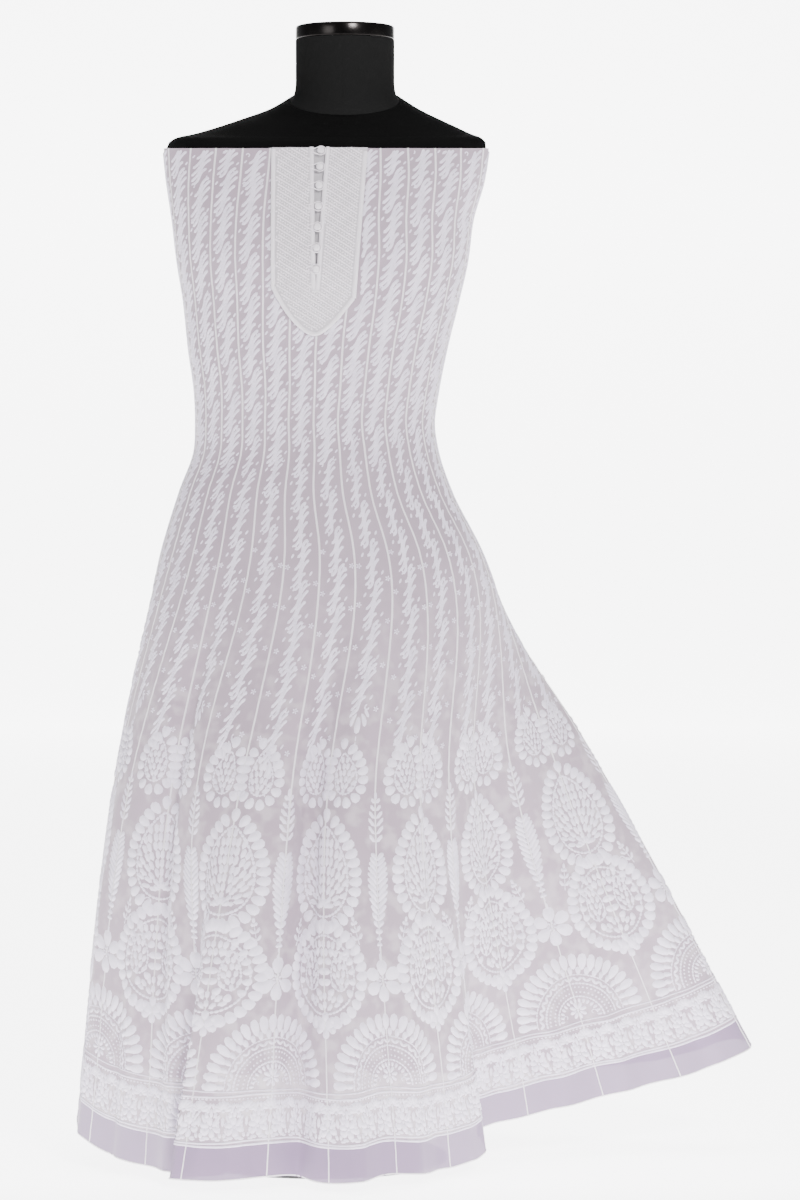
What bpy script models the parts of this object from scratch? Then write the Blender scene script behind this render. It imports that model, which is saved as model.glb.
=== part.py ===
# Full-length panelled anarkali gown of embroidered net on a black limbless dress form.
# Metres, +Z up. The front faces -Y and the skirt is spread out towards +X.
# The origin is on the floor, under the middle of the base plate.
import bisect
import math

import bmesh
import bpy
import numpy as np
from mathutils import Vector

MM = 0.001

# Gaps and walls
SEAM_GAP = 0.3 * MM
SEAT_GAP = 0.3 * MM
PANEL_WALL = 1.2 * MM
LINING_WALL = 1.0 * MM
LINING_EASE = 0.9 * MM
FORM_EASE = 0.5 * MM
PLACKET_WALL = 1.4 * MM
PIPING_WALL = 1.2 * MM

# Panels
PANELS = 26
FRONT_PANELS = 13
SAMPLES_PER_PANEL = 12
FRONT_STRIPS = 5
BACK_STRIPS = 4
FINE_PANELS = (0, 1, 2, 3, 4, 12, 16, 22, 23, 24, 25)
RING_STEPS = 24
ROUND_COUNT = 52
NECK_COUNT = 39

# Top edge, level to an eye at this height and distance in front
EYE_HEIGHT = 0.766
EYE_DISTANCE = 5.0

# Bodice and hip rings of the gown, from the top edge down
# columns: height, centre_x, centre_y, half_width, front_depth, back_depth (mm)
BODICE_RINGS = (
    (1193.0, 7.5, -28.0, 190.5, 57.0, 108.0),
    (1153.0, 6.3, -24.0, 185.7, 74.0, 106.0),
    (1107.0, 3.0, -16.0, 176.0, 94.0, 102.0),
    (1059.0, 2.5, -8.0, 170.2, 108.0, 98.0),
    (1015.0, 1.0, -2.0, 161.8, 110.0, 93.0),
    (955.0, -3.2, 0.0, 151.3, 103.0, 90.0),
    (904.0, -4.7, 0.0, 142.8, 96.0, 88.0),
    (868.0, -6.4, 0.0, 139.9, 94.0, 88.0),
    (838.0, -5.0, 0.0, 142.5, 98.0, 91.0),
    (788.0, -5.5, 0.0, 159.5, 114.0, 106.0),
    (719.0, 1.5, 0.0, 187.5, 140.0, 132.0),
)
WAIST_ROW = 7

# Folds at knee height, once round from the centre front towards +X
# columns: crest_x, crest_y, height, dip to the next crest, a bulge where negative (mm)
KNEE_FOLDS = (
    (-30.0, -196.0, 440.0, 22.0),
    (13.0, -194.0, 440.0, -12.0),
    (68.0, -198.0, 441.0, -5.0),
    (115.0, -172.0, 442.0, 6.0),
    (141.0, -130.0, 445.0, -4.0),
    (176.0, -84.0, 452.0, 7.0),
    (206.0, -42.0, 460.0, -2.0),
    (262.0, -8.0, 478.0, -3.0),
    (304.0, 34.0, 495.0, -9.0),
    (303.0, 72.0, 495.0, -2.0),
    (250.0, 104.0, 485.0, 8.0),
    (190.0, 128.0, 475.0, -8.0),
    (140.0, 146.0, 470.0, 16.0),
    (92.0, 158.0, 466.0, -8.0),
    (40.0, 174.0, 465.0, 18.0),
    (-14.0, 172.0, 465.0, -8.0),
    (-66.0, 176.0, 465.0, 17.0),
    (-112.0, 164.0, 465.0, -8.0),
    (-158.0, 142.0, 464.0, 15.0),
    (-190.0, 112.0, 464.0, -7.0),
    (-216.0, 74.0, 463.0, 12.0),
    (-234.0, 36.0, 462.0, -5.0),
    (-236.0, -30.0, 462.0, -12.0),
    (-190.0, -112.0, 452.0, 16.0),
    (-150.0, -146.0, 447.0, -4.0),
    (-108.0, -186.0, 442.0, -9.0),
)

# Folds at the hem, once round from the centre front towards +X
# columns: crest_x, crest_y, height, dip to the next crest, a bulge where negative (mm)
HEM_FOLDS = (
    (-56.0, -243.0, 17.0, 32.0),
    (8.0, -246.0, 10.0, -26.0),
    (81.0, -225.0, 17.0, -4.0),
    (126.0, -180.0, 11.0, 6.0),
    (157.0, -140.0, 12.0, -3.0),
    (184.0, -100.0, 18.0, -2.0),
    (191.0, -76.0, 30.0, 17.0),
    (208.0, -14.0, 45.0, -2.0),
    (248.0, -2.0, 52.0, -3.0),
    (347.0, 35.0, 72.0, 3.0),
    (446.0, 62.0, 93.0, -4.0),
    (516.0, 88.0, 120.0, -8.0),
    (500.0, 116.0, 126.0, 5.0),
    (400.0, 136.0, 98.0, -5.0),
    (292.0, 160.0, 82.0, 26.0),
    (228.0, 192.0, 78.0, -6.0),
    (196.0, 214.0, 76.0, 34.0),
    (142.0, 232.0, 72.0, -6.0),
    (108.0, 252.0, 70.0, 38.0),
    (58.0, 258.0, 68.0, -6.0),
    (20.0, 272.0, 68.0, 38.0),
    (-32.0, 270.0, 68.0, -6.0),
    (-70.0, 264.0, 68.0, 32.0),
    (-124.0, 250.0, 68.0, -6.0),
    (-160.0, 230.0, 70.0, 36.0),
    (-202.0, 200.0, 70.0, -6.0),
    (-232.0, 166.0, 70.0, 32.0),
    (-256.0, 124.0, 70.0, -5.0),
    (-276.0, 84.0, 70.0, 24.0),
    (-284.0, 30.0, 70.0, -3.0),
    (-284.0, -12.0, 58.0, -14.0),
    (-248.0, -103.0, 24.0, -2.0),
    (-212.0, -143.0, 17.0, 3.0),
    (-166.0, -190.0, 14.0, 8.0),
    (-104.0, -206.0, 14.0, 0.0),
    (-166.0, -226.0, 12.0, -5.0),
    (-112.0, -243.0, 12.0, -4.0),
)

# Rows of every panel below the waist, as a share of the way from the waist to the hem
SKIRT_ROWS = (0.10, 0.20, 0.31, 0.43, 0.55, 0.67, 0.78, 0.89, 1.0)

# Slip lining below the waist
# columns: height, centre_x, half_width, front_depth, back_depth (mm)
LINING_RINGS = (
    (838.0, -5.0, 138.5, 94.0, 87.0),
    (788.0, -4.0, 150.0, 104.0, 97.0),
    (719.0, 0.0, 172.0, 124.0, 118.0),
    (450.0, -15.0, 172.0, 138.0, 124.0),
    (150.0, -40.0, 192.0, 164.0, 150.0),
)

# Dress form below the waist
# columns: height, centre_x, half_width, front_depth, back_depth (mm)
TORSO_LOWER_RINGS = (
    (838.0, -5.0, 135.5, 91.0, 84.0),
    (788.0, -4.0, 146.0, 100.0, 93.0),
    (719.0, -2.0, 162.0, 114.0, 110.0),
    (666.0, -2.0, 165.0, 117.0, 114.0),
    (656.0, -2.0, 160.0, 112.0, 109.0),
    (652.0, -2.0, 148.0, 100.0, 97.0),
)

# Shoulders of the dress form above the gown's top edge
# columns: height, centre_x, centre_y, half_width, half_depth, forward drop (mm)
SHOULDER_RINGS = (
    (1200.0, 8.2, 0.0, 187.0, 80.0, 6.0),
    (1205.0, 9.6, 1.0, 181.0, 76.0, 7.0),
    (1210.5, 14.5, 3.0, 163.0, 71.0, 9.0),
    (1218.0, 19.5, 5.0, 142.0, 68.0, 12.0),
    (1226.5, 23.5, 6.0, 119.0, 65.0, 15.0),
    (1236.5, 28.0, 7.0, 92.0, 62.0, 19.0),
    (1249.6, 29.0, 9.0, 68.0, 60.0, 22.13),
)

# Neck block
NECK_X = 29.0
NECK_Y = 9.0
NECK_RADIUS = 58.4
NECK_DEPTH = 55.0
# columns: height, extra width at the foot, forward drop (mm)
NECK_RINGS = (
    (1250.0, 6.0, 22.5),
    (1256.0, 2.5, 17.0),
    (1266.0, 0.3, 9.0),
    (1280.0, 0.0, 0.0),
    (1321.5, 0.0, 0.0),
)
RIM_BOTTOM = 1321.8
RIM_TOP = 1338.0
RIM_EDGE = 2.2

# Stand
BASE_RADIUS = 0.150
BASE_EDGE_RADIUS = 0.138
BASE_THICKNESS = 0.012
POLE_RADIUS = 0.016
SOCKET_RADIUS = 0.030
SOCKET_HEIGHT = 0.040
COLLAR_RADIUS = 0.034
COLLAR_HEIGHT = 0.016
PLATE_SIDES = 36
POLE_SIDES = 24

# Placket: widths from the centre front seam and lengths down from the top edge
PLACKET_LEFT_TOP = 0.056
PLACKET_LEFT_LOW = 0.051
PLACKET_RIGHT_TOP = 0.058
PLACKET_RIGHT_LOW = 0.046
PLACKET_LEFT_CORNER = 0.168
PLACKET_RIGHT_CORNER = 0.182
PLACKET_TIP = 0.2255
PLACKET_ROUNDNESS = 1.6
PLACKET_TOP_X = 0.0012
PLACKET_TIP_X = -0.0047
SLIT_HALF_TOP = 0.0074
SLIT_LENGTH = 0.171
PIPING_WIDTH = 0.0045
PLACKET_CORNER_STEPS = 8
PLACKET_REACH = 3
PLACKET_ROWS = 7
CUTTER_RISE = 0.030
CUTTER_FRONT = -0.25
CUTTER_BACK = -0.02

# Buttons down the slit
BUTTONS = 7
BUTTON_SIDES = 10
BUTTON_RADIUS = 0.0043
BUTTON_HEIGHT = 0.0042
FIRST_BUTTON_DOWN = 0.006
BUTTON_PITCH = 0.0240
BUTTON_DRIFT = 0.0014

# Loops round the buttons, laid flat
LOOP_CORD = 0.0006
LOOP_RADIUS = 0.0053
LOOP_STEPS = 6
LOOP_SWEEP = 125.0
LOOP_LEG = 0.0115
LOOP_LEG_SPREAD = 0.0014


def spline_tangents(keys, values):
    """Slopes of a smooth open curve through the values at the keys."""
    tangents = np.zeros_like(values)
    spans = np.diff(keys)
    slopes = np.diff(values, axis=0) / spans.reshape((-1,) + (1,) * (values.ndim - 1))
    tangents[0] = slopes[0]
    tangents[-1] = slopes[-1]
    for row in range(1, len(keys) - 1):
        before = spans[row - 1]
        after = spans[row]
        tangents[row] = (slopes[row - 1] * after + slopes[row] * before) / (before + after)
    return tangents


def hermite(share, span, start, end, start_slope, end_slope):
    """Point on a cubic between two ends."""
    square = share * share
    cube = square * share
    return (
        (2 * cube - 3 * square + 1) * start
        + (cube - 2 * square + share) * span * start_slope
        + (3 * square - 2 * cube) * end
        + (cube - square) * span * end_slope
    )


def closed_curve(points):
    """Dense samples of a smooth closed curve through the points."""
    count = len(points)
    padded = np.vstack([points[-2:], points, points[:3]])
    keys = np.concatenate([[0.0], np.cumsum(np.linalg.norm(np.diff(padded, axis=0), axis=1))])
    slopes = spline_tangents(keys, padded)
    samples = []
    for row in range(2, count + 2):
        span = keys[row + 1] - keys[row]
        for step in range(RING_STEPS):
            share = step / RING_STEPS
            samples.append(
                hermite(share, span, padded[row], padded[row + 1], slopes[row], slopes[row + 1])
            )
    return np.array(samples)


def equal_steps(samples, steps, closed=True):
    """Points at equal distances along a dense line."""
    line = np.vstack([samples, samples[:1]]) if closed else samples
    run = np.concatenate([[0.0], np.cumsum(np.linalg.norm(np.diff(line, axis=0), axis=1))])
    count = steps if closed else steps + 1
    targets = np.arange(count) * run[-1] / steps
    return np.stack([np.interp(targets, run, line[:, axis]) for axis in range(3)], axis=1)


def fold_ring(folds):
    """Ring through the crests and dips of a fold table, panels sharing its length equally."""
    crests = np.array([row[:3] for row in folds])
    points = []
    for index, crest in enumerate(crests):
        following = crests[(index + 1) % len(crests)]
        along = following - crest
        outward = np.array([along[1], -along[0], 0.0])
        outward /= np.linalg.norm(outward)
        points.append(crest)
        points.append((crest + following) / 2 - folds[index][3] * outward)
    dense = closed_curve(np.array(points) * MM)
    return equal_steps(dense, PANELS * SAMPLES_PER_PANEL)


def half_arc(start_angle, centre_x, centre_y, half_width, depth, steps):
    """Equal steps along half an ellipse that begins at the angle."""
    angles = start_angle + np.linspace(0.0, math.pi, 400)
    dense = np.stack(
        [centre_x + half_width * np.cos(angles), centre_y + depth * np.sin(angles), 0 * angles],
        axis=1,
    )
    return equal_steps(dense, steps, closed=False)


def body_ring(height, centre_x, centre_y, half_width, front_depth, back_depth):
    """Ring round the body, the front half holding the front panels."""
    front_steps = FRONT_PANELS * SAMPLES_PER_PANEL
    back_steps = (PANELS - FRONT_PANELS) * SAMPLES_PER_PANEL
    front = half_arc(math.pi, centre_x, centre_y, half_width, front_depth, front_steps)
    back = half_arc(0.0, centre_x, centre_y, half_width, back_depth, back_steps)
    ring = np.vstack([front[:-1], back[:-1]])
    ring[:, 2] = height
    return np.roll(ring, -front_steps // 2, axis=0) * MM


class Drape:
    """Cloth surface through rings, addressed by panel and by length down the cloth."""

    def __init__(self, rings):
        self.rings = np.array(rings)
        steps = np.linalg.norm(np.diff(self.rings, axis=0), axis=2).mean(axis=1)
        self.keys = np.concatenate([[0.0], np.cumsum(steps)])
        self.slopes = spline_tangents(self.keys, self.rings)

    def ring_value(self, index, place):
        """Smooth value between the samples of one ring table."""
        count = SAMPLES_PER_PANEL * PANELS
        turn = (place * SAMPLES_PER_PANEL) % count
        base = int(math.floor(turn))
        share = turn - base
        values = [self.row_at(index, (base + shift) % count) for shift in (-1, 0, 1, 2)]
        start_slope = (values[2] - values[0]) / 2
        end_slope = (values[3] - values[1]) / 2
        return hermite(share, 1.0, values[1], values[2], start_slope, end_slope)

    def row_at(self, down, sample):
        """Point at a length down the cloth on one sample line."""
        row = min(max(bisect.bisect_right(self.keys.tolist(), down) - 1, 0), len(self.keys) - 2)
        span = self.keys[row + 1] - self.keys[row]
        share = (down - self.keys[row]) / span
        return hermite(
            share,
            span,
            self.rings[row, sample],
            self.rings[row + 1, sample],
            self.slopes[row, sample],
            self.slopes[row + 1, sample],
        )

    def point(self, place, down):
        """Point on the middle of the cloth."""
        return self.ring_value(down, place)

    def normal(self, place, down):
        """Outward direction of the cloth."""
        across = self.point(place + 0.02, down) - self.point(place - 0.02, down)
        upper = max(down - 0.002, 0.0)
        lower = min(down + 0.002, self.keys[-1])
        along = self.point(place, lower) - self.point(place, upper)
        outward = np.cross(along, across)
        return outward / np.linalg.norm(outward)

    def offset(self, place, down, distance):
        """Point moved out of the cloth along its direction."""
        return self.point(place, down) + distance * self.normal(place, down)

    def facet_offset(self, place, down, distance, rows):
        """Point moved out from the flat between two rows of a panel."""
        row = min(bisect.bisect_right(rows, down) - 1, len(rows) - 2)
        share = (down - rows[row]) / (rows[row + 1] - rows[row])
        upper = self.offset(place, rows[row], distance)
        lower = self.offset(place, rows[row + 1], distance)
        return upper + share * (lower - upper)

    def width(self, place, down):
        """Length of cloth in one panel at a place."""
        step = 0.25
        return np.linalg.norm(self.point(place + step, down) - self.point(place, down)) / step


def gown_drape():
    """Surface of the whole gown."""
    rings = [body_ring(*row) for row in BODICE_RINGS]
    top = rings[0]
    top[:, 2] += (top[:, 2] - EYE_HEIGHT) * top[:, 1] / EYE_DISTANCE
    rings.append(fold_ring(KNEE_FOLDS))
    rings.append(fold_ring(HEM_FOLDS))
    return Drape(rings)


def gown_rows(drape):
    """Lengths down the cloth at which every panel has a row."""
    waist = drape.keys[WAIST_ROW]
    rows = [float(key) for key in drape.keys[: WAIST_ROW + 1]]
    rows.extend(waist + share * (drape.keys[-1] - waist) for share in SKIRT_ROWS)
    return rows


def new_object(name, vertices, faces, material, collection):
    """Object from vertices and faces with all faces turned outwards."""
    mesh = bpy.data.meshes.new(name)
    mesh.from_pydata([tuple(vertex) for vertex in vertices], [], faces)
    mesh.update()
    body = bmesh.new()
    body.from_mesh(mesh)
    bmesh.ops.recalc_face_normals(body, faces=body.faces)
    if body.calc_volume(signed=True) < 0.0:
        bmesh.ops.reverse_faces(body, faces=body.faces)
    body.to_mesh(mesh)
    body.free()
    mesh.materials.append(material)
    thing = bpy.data.objects.new(name, mesh)
    collection.objects.link(thing)
    return thing


def sheet_faces(rows, columns, closed=False):
    """Faces of a two-sided sheet whose outer points come first, then the inner ones.

    Both sides are split along the same diagonals, so that the wall keeps its thickness.
    """
    wrap = columns if closed else columns - 1
    inner = rows * columns
    faces = []
    for row in range(rows - 1):
        for column in range(wrap):
            right = (column + 1) % columns
            corners = (
                row * columns + column,
                row * columns + right,
                (row + 1) * columns + right,
                (row + 1) * columns + column,
            )
            for triangle in (corners[:3], (corners[0], corners[2], corners[3])):
                faces.append(triangle)
                faces.append(tuple(inner + corner for corner in reversed(triangle)))
    for column in range(wrap):
        right = (column + 1) % columns
        for row in (0, rows - 1):
            faces.append(
                (
                    row * columns + column,
                    row * columns + right,
                    inner + row * columns + right,
                    inner + row * columns + column,
                )
            )
    if not closed:
        for row in range(rows - 1):
            for column in (0, columns - 1):
                upper = row * columns + column
                lower = upper + columns
                faces.append((upper, lower, inner + lower, inner + upper))
    return faces


def slit_half(down):
    """Half the width of the front slit at a length down."""
    return max(SLIT_HALF_TOP * (1.0 - down / SLIT_LENGTH), SEAM_GAP / 2)


def slit_shift(drape, down):
    """Distance of the slit's middle from the centre front seam, gone at the placket's tip."""
    aside = seam_x(down) - drape.point(0.0, down)[0]
    return aside * min(max((PLACKET_TIP - down) / (PLACKET_TIP - SLIT_LENGTH), 0.0), 1.0)


def panel(index, drape, rows, material, collection):
    """One full-length panel between two seams."""
    strips = FRONT_STRIPS if index in FINE_PANELS else BACK_STRIPS
    vertices = []
    for side in (PANEL_WALL / 2, -PANEL_WALL / 2):
        for down in rows:
            width = drape.width(index + 0.4, down)
            left = SEAM_GAP / 2 / width
            right = left
            if index == 0:
                left = (slit_half(down) + slit_shift(drape, down)) / width
            if index == PANELS - 1:
                right = (slit_half(down) - slit_shift(drape, down)) / width
            for strip in range(strips + 1):
                place = index + left + (1.0 - left - right) * strip / strips
                vertices.append(drape.offset(place, down, side))
    name = f"kali_{index + 1:02d}"
    return new_object(name, vertices, sheet_faces(len(rows), strips + 1), material, collection)


def under_points(drape, down, inset):
    """Points round a layer under the bodice."""
    return [
        drape.offset(step * PANELS / ROUND_COUNT, down, -inset) for step in range(ROUND_COUNT)
    ]


def oval_points(ring, count, wall=0.0):
    """Points round an oval ring, matched to the seams of the panels."""
    height, centre_x, half_width, front_depth, back_depth = ring
    samples = body_ring(
        height,
        centre_x,
        0.0,
        half_width - wall / MM,
        front_depth - wall / MM,
        back_depth - wall / MM,
    )
    stride = PANELS * SAMPLES_PER_PANEL // count
    return list(samples[::stride])


def lining(drape, rows, material, collection):
    """Slip lining from the top edge to below the knee."""
    inset = PANEL_WALL / 2 + LINING_EASE
    bodice = rows[: WAIST_ROW + 1]
    vertices = []
    for side in (0.0, LINING_WALL):
        for down in bodice:
            vertices.extend(under_points(drape, down, inset + side))
        for ring in LINING_RINGS:
            vertices.extend(oval_points(ring, ROUND_COUNT, side))
    count = len(bodice) + len(LINING_RINGS)
    faces = sheet_faces(count, ROUND_COUNT, closed=True)
    return new_object("lining_slip", vertices, faces, material, collection)


def lofted_solid(name, rings, material, collection):
    """Solid closed at both ends, from rings of equal count."""
    count = len(rings[0])
    vertices = [point for ring in rings for point in ring]
    faces = []
    for row in range(len(rings) - 1):
        for column in range(count):
            right = (column + 1) % count
            corners = (
                row * count + column,
                row * count + right,
                (row + 1) * count + right,
                (row + 1) * count + column,
            )
            faces.extend((corners[:3], (corners[0], corners[2], corners[3])))
    faces.append(tuple(range(count)))
    last = (len(rings) - 1) * count
    faces.append(tuple(last + column for column in range(count)))
    return new_object(name, vertices, faces, material, collection)


def tilted_ring(height, centre_x, centre_y, half_width, half_depth, drop, count):
    """Oval ring that dips towards the front."""
    samples = body_ring(height, centre_x, centre_y, half_width, half_depth, half_depth)
    stride = PANELS * SAMPLES_PER_PANEL // count
    ring = samples[::stride].copy()
    ring[:, 2] += drop * MM * (ring[:, 1] - centre_y * MM) / (half_depth * MM)
    return list(ring)


def torso(drape, rows, material, collection):
    """Body of the dress form, hips to shoulders."""
    inset = PANEL_WALL / 2 + LINING_EASE + LINING_WALL + FORM_EASE
    rings = [tilted_ring(*row, ROUND_COUNT) for row in SHOULDER_RINGS[::-1]]
    rings.extend(under_points(drape, down, inset) for down in rows[: WAIST_ROW + 1])
    rings.extend(oval_points(ring, ROUND_COUNT) for ring in TORSO_LOWER_RINGS)
    return lofted_solid("form_torso", rings, material, collection)


def neck(material, collection):
    """Neck block with a flared foot."""
    rings = []
    for height, flare, drop in NECK_RINGS:
        rings.append(
            tilted_ring(
                height, NECK_X, NECK_Y, NECK_RADIUS + flare, NECK_DEPTH + flare, drop, NECK_COUNT
            )
        )
    return lofted_solid("form_neck", rings, material, collection)


def neck_rim(material, collection):
    """Polished cap on the neck."""
    rings = []
    for height, inset in (
        (RIM_BOTTOM, 1.2),
        (RIM_BOTTOM + 1.2, 0.0),
        (RIM_TOP - RIM_EDGE, 0.0),
        (RIM_TOP - 0.6, 0.7),
        (RIM_TOP, RIM_EDGE),
    ):
        rings.append(
            tilted_ring(
                height, NECK_X, NECK_Y, NECK_RADIUS - inset, NECK_DEPTH - inset, 0.0, NECK_COUNT
            )
        )
    return lofted_solid("neck_rim", rings, material, collection)


def turned(name, profile, material, collection, count=POLE_SIDES):
    """Round solid from rows of radius and height."""
    rings = []
    for radius, height in profile:
        angles = [2 * math.pi * step / count for step in range(count)]
        rings.append([(radius * math.cos(a), radius * math.sin(a), height) for a in angles])
    return lofted_solid(name, rings, material, collection)


def stand(materials, collection):
    """Base plate, socket, pole and collar under the torso."""
    turned(
        "base_plate",
        (
            (BASE_RADIUS - 0.001, 0.0),
            (BASE_RADIUS, 0.001),
            (BASE_RADIUS, 0.006),
            (BASE_EDGE_RADIUS, BASE_THICKNESS),
        ),
        materials["black_paint"],
        collection,
        PLATE_SIDES,
    )
    socket_foot = BASE_THICKNESS + SEAT_GAP
    turned(
        "pole_socket",
        (
            (SOCKET_RADIUS, socket_foot),
            (SOCKET_RADIUS, socket_foot + 0.010),
            (SOCKET_RADIUS * 0.72, socket_foot + 0.016),
            (SOCKET_RADIUS * 0.72, socket_foot + SOCKET_HEIGHT),
        ),
        materials["steel"],
        collection,
    )
    pole_foot = socket_foot + SOCKET_HEIGHT + SEAT_GAP
    torso_foot = TORSO_LOWER_RINGS[-1][0] * MM
    collar_foot = torso_foot - SEAT_GAP - COLLAR_HEIGHT
    turned(
        "pole",
        ((POLE_RADIUS, pole_foot), (POLE_RADIUS, collar_foot - SEAT_GAP)),
        materials["steel"],
        collection,
    )
    turned(
        "pole_collar",
        ((COLLAR_RADIUS, collar_foot), (COLLAR_RADIUS, torso_foot - SEAT_GAP)),
        materials["steel"],
        collection,
    )


def seam_x(down):
    """Sideways place of the centre front seam at a length down."""
    return PLACKET_TOP_X + (PLACKET_TIP_X - PLACKET_TOP_X) * down / PLACKET_TIP


def placket_outline(inset=0.0):
    """Rounded outline of the placket seen from the front, as points in x and z."""
    top = BODICE_RINGS[0][0] * MM
    points = [(seam_x(0.0) - PLACKET_LEFT_TOP + inset, top + CUTTER_RISE)]
    for step in range(PLACKET_CORNER_STEPS + 1):
        share = step / PLACKET_CORNER_STEPS
        side = -math.cos(share * math.pi)
        corner = PLACKET_LEFT_CORNER + (PLACKET_RIGHT_CORNER - PLACKET_LEFT_CORNER) * share
        low = corner + (PLACKET_TIP - inset - corner) * (1 - abs(side) ** PLACKET_ROUNDNESS)
        reach = PLACKET_LEFT_LOW if side < 0 else PLACKET_RIGHT_LOW
        points.append((seam_x(low) + side * (reach - inset), top - low))
    points.append((seam_x(0.0) + PLACKET_RIGHT_TOP - inset, top + CUTTER_RISE))
    return points


def slit_outline(grow=0.0):
    """Narrowing outline of the front slit, as points in x and z."""
    top = BODICE_RINGS[0][0] * MM
    half = SLIT_HALF_TOP + grow
    low = SLIT_LENGTH + grow
    tip = SEAM_GAP / 2 + grow * 0.6
    return [
        (seam_x(0.0) - half, top + CUTTER_RISE),
        (seam_x(0.0) - half, top),
        (seam_x(low) - tip, top - low),
        (seam_x(low) + tip, top - low),
        (seam_x(0.0) + half, top),
        (seam_x(0.0) + half, top + CUTTER_RISE),
    ]


def prism(name, outline, collection):
    """Cutter with an outline in x and z, running through the front of the gown."""
    count = len(outline)
    vertices = [(x, CUTTER_FRONT, z) for x, z in outline]
    vertices.extend((x, CUTTER_BACK, z) for x, z in outline)
    faces = [tuple(range(count)), tuple(range(count, 2 * count))]
    for index in range(count):
        following = (index + 1) % count
        faces.append((index, following, count + following, count + index))
    cutter = new_object(name, vertices, faces, bpy.data.materials["cutter"], collection)
    cutter.hide_render = True
    cutter.display_type = "WIRE"
    return cutter


def boolean(thing, cutter, operation):
    """Exact boolean, applied."""
    modifier = thing.modifiers.new(operation.lower(), "BOOLEAN")
    modifier.object = cutter
    modifier.operation = operation
    modifier.solver = "EXACT"
    graph = bpy.context.evaluated_depsgraph_get()
    result = bpy.data.meshes.new_from_object(thing.evaluated_get(graph))
    old = thing.data
    thing.modifiers.clear()
    thing.data = result
    result.name = old.name
    bpy.data.meshes.remove(old)


def front_patch(name, drape, rows, lower, upper, material, collection):
    """Sheet that follows the faces of the front panels, moved out from them."""
    places = [
        step / FRONT_STRIPS
        for step in range(-PLACKET_REACH * FRONT_STRIPS, PLACKET_REACH * FRONT_STRIPS + 1)
    ]
    downs = rows[:PLACKET_ROWS]
    vertices = []
    for distance in (upper, lower):
        for down in downs:
            vertices.extend(drape.offset(place, down, distance) for place in places)
    faces = sheet_faces(len(downs), len(places))
    return new_object(name, vertices, faces, material, collection)


def placket(drape, rows, materials, collection, cutters):
    """Placket band round the front slit with its piped edge."""
    foot = PANEL_WALL / 2 + SEAT_GAP
    band = front_patch(
        "placket", drape, rows, foot, foot + PLACKET_WALL, materials["placket"], collection
    )
    outline = prism("placket_cutter", placket_outline(), cutters)
    slit = prism("slit_cutter", slit_outline(), cutters)
    boolean(band, outline, "INTERSECT")
    boolean(band, slit, "DIFFERENCE")
    edge_foot = foot + PLACKET_WALL + SEAT_GAP
    edges = (
        ("placket_piping", outline, placket_outline(PIPING_WIDTH)),
        ("slit_piping", prism("slit_edge_cutter", slit_outline(PIPING_WIDTH), cutters), None),
    )
    for name, outer, hollow in edges:
        piping = front_patch(
            name,
            drape,
            rows,
            edge_foot,
            edge_foot + PIPING_WALL,
            materials["placket"],
            collection,
        )
        inner = prism(name + "_hollow", hollow, cutters) if hollow else slit
        boolean(piping, outer, "INTERSECT")
        boolean(piping, inner, "DIFFERENCE")


def button_place(number):
    """Distance from the slit's middle and length down of one button."""
    down = FIRST_BUTTON_DOWN + number * BUTTON_PITCH
    aside = BUTTON_DRIFT * (1.0 - number / (BUTTONS - 1))
    return aside, down


def loop_path():
    """Line of one loop, flat, the button at its middle."""
    path = [(-LOOP_LEG, LOOP_LEG_SPREAD)]
    for step in range(LOOP_STEPS + 1):
        angle = math.radians(LOOP_SWEEP * (1 - 2 * step / LOOP_STEPS))
        path.append((LOOP_RADIUS * math.cos(angle), LOOP_RADIUS * math.sin(angle)))
    path.append((-LOOP_LEG, -LOOP_LEG_SPREAD))
    return [Vector((x, y, LOOP_CORD)) for x, y in path]


def cord_rings(path):
    """Square rings of a cord along a flat path."""
    rings = []
    for index, point in enumerate(path):
        before = path[max(index - 1, 0)]
        after = path[min(index + 1, len(path) - 1)]
        along = (after - before).normalized()
        aside = Vector((-along.y, along.x, 0.0)) * LOOP_CORD
        up = Vector((0.0, 0.0, LOOP_CORD))
        rings.append([point + aside + up, point - aside + up, point - aside - up, point + aside - up])
    return rings


def buttons(drape, rows, material, collection):
    """Cloth-covered buttons in the slit, each with its loop."""
    foot = PANEL_WALL / 2 + SEAT_GAP + PLACKET_WALL + SEAT_GAP + PIPING_WALL + SEAT_GAP
    profile = (
        (BUTTON_RADIUS * 0.62, 0.0),
        (BUTTON_RADIUS, BUTTON_HEIGHT * 0.38),
        (BUTTON_RADIUS * 0.82, BUTTON_HEIGHT * 0.80),
        (BUTTON_RADIUS * 0.36, BUTTON_HEIGHT),
    )
    angles = [2 * math.pi * step / BUTTON_SIDES for step in range(BUTTON_SIDES)]
    for number in range(BUTTONS):
        aside, down = button_place(number)
        place = (seam_x(down) + aside - drape.point(0.0, down)[0]) / drape.width(0.3, down)
        centre = Vector(drape.facet_offset(place, down, foot, rows))
        outward = Vector(drape.normal(place, down))
        across = Vector((0.0, 0.0, 1.0)).cross(outward).normalized()
        upward = outward.cross(across)

        def placed(local):
            return centre + across * local[0] + upward * local[1] + outward * local[2]

        rings = []
        for radius, height in profile:
            rings.append(
                [placed((radius * math.cos(a), radius * math.sin(a), height)) for a in angles]
            )
        lofted_solid(f"button_{number + 1}", rings, material, collection)
        cord = [[placed(corner) for corner in ring] for ring in cord_rings(loop_path())]
        lofted_solid(f"loop_{number + 1}", cord, material, collection)


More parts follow.
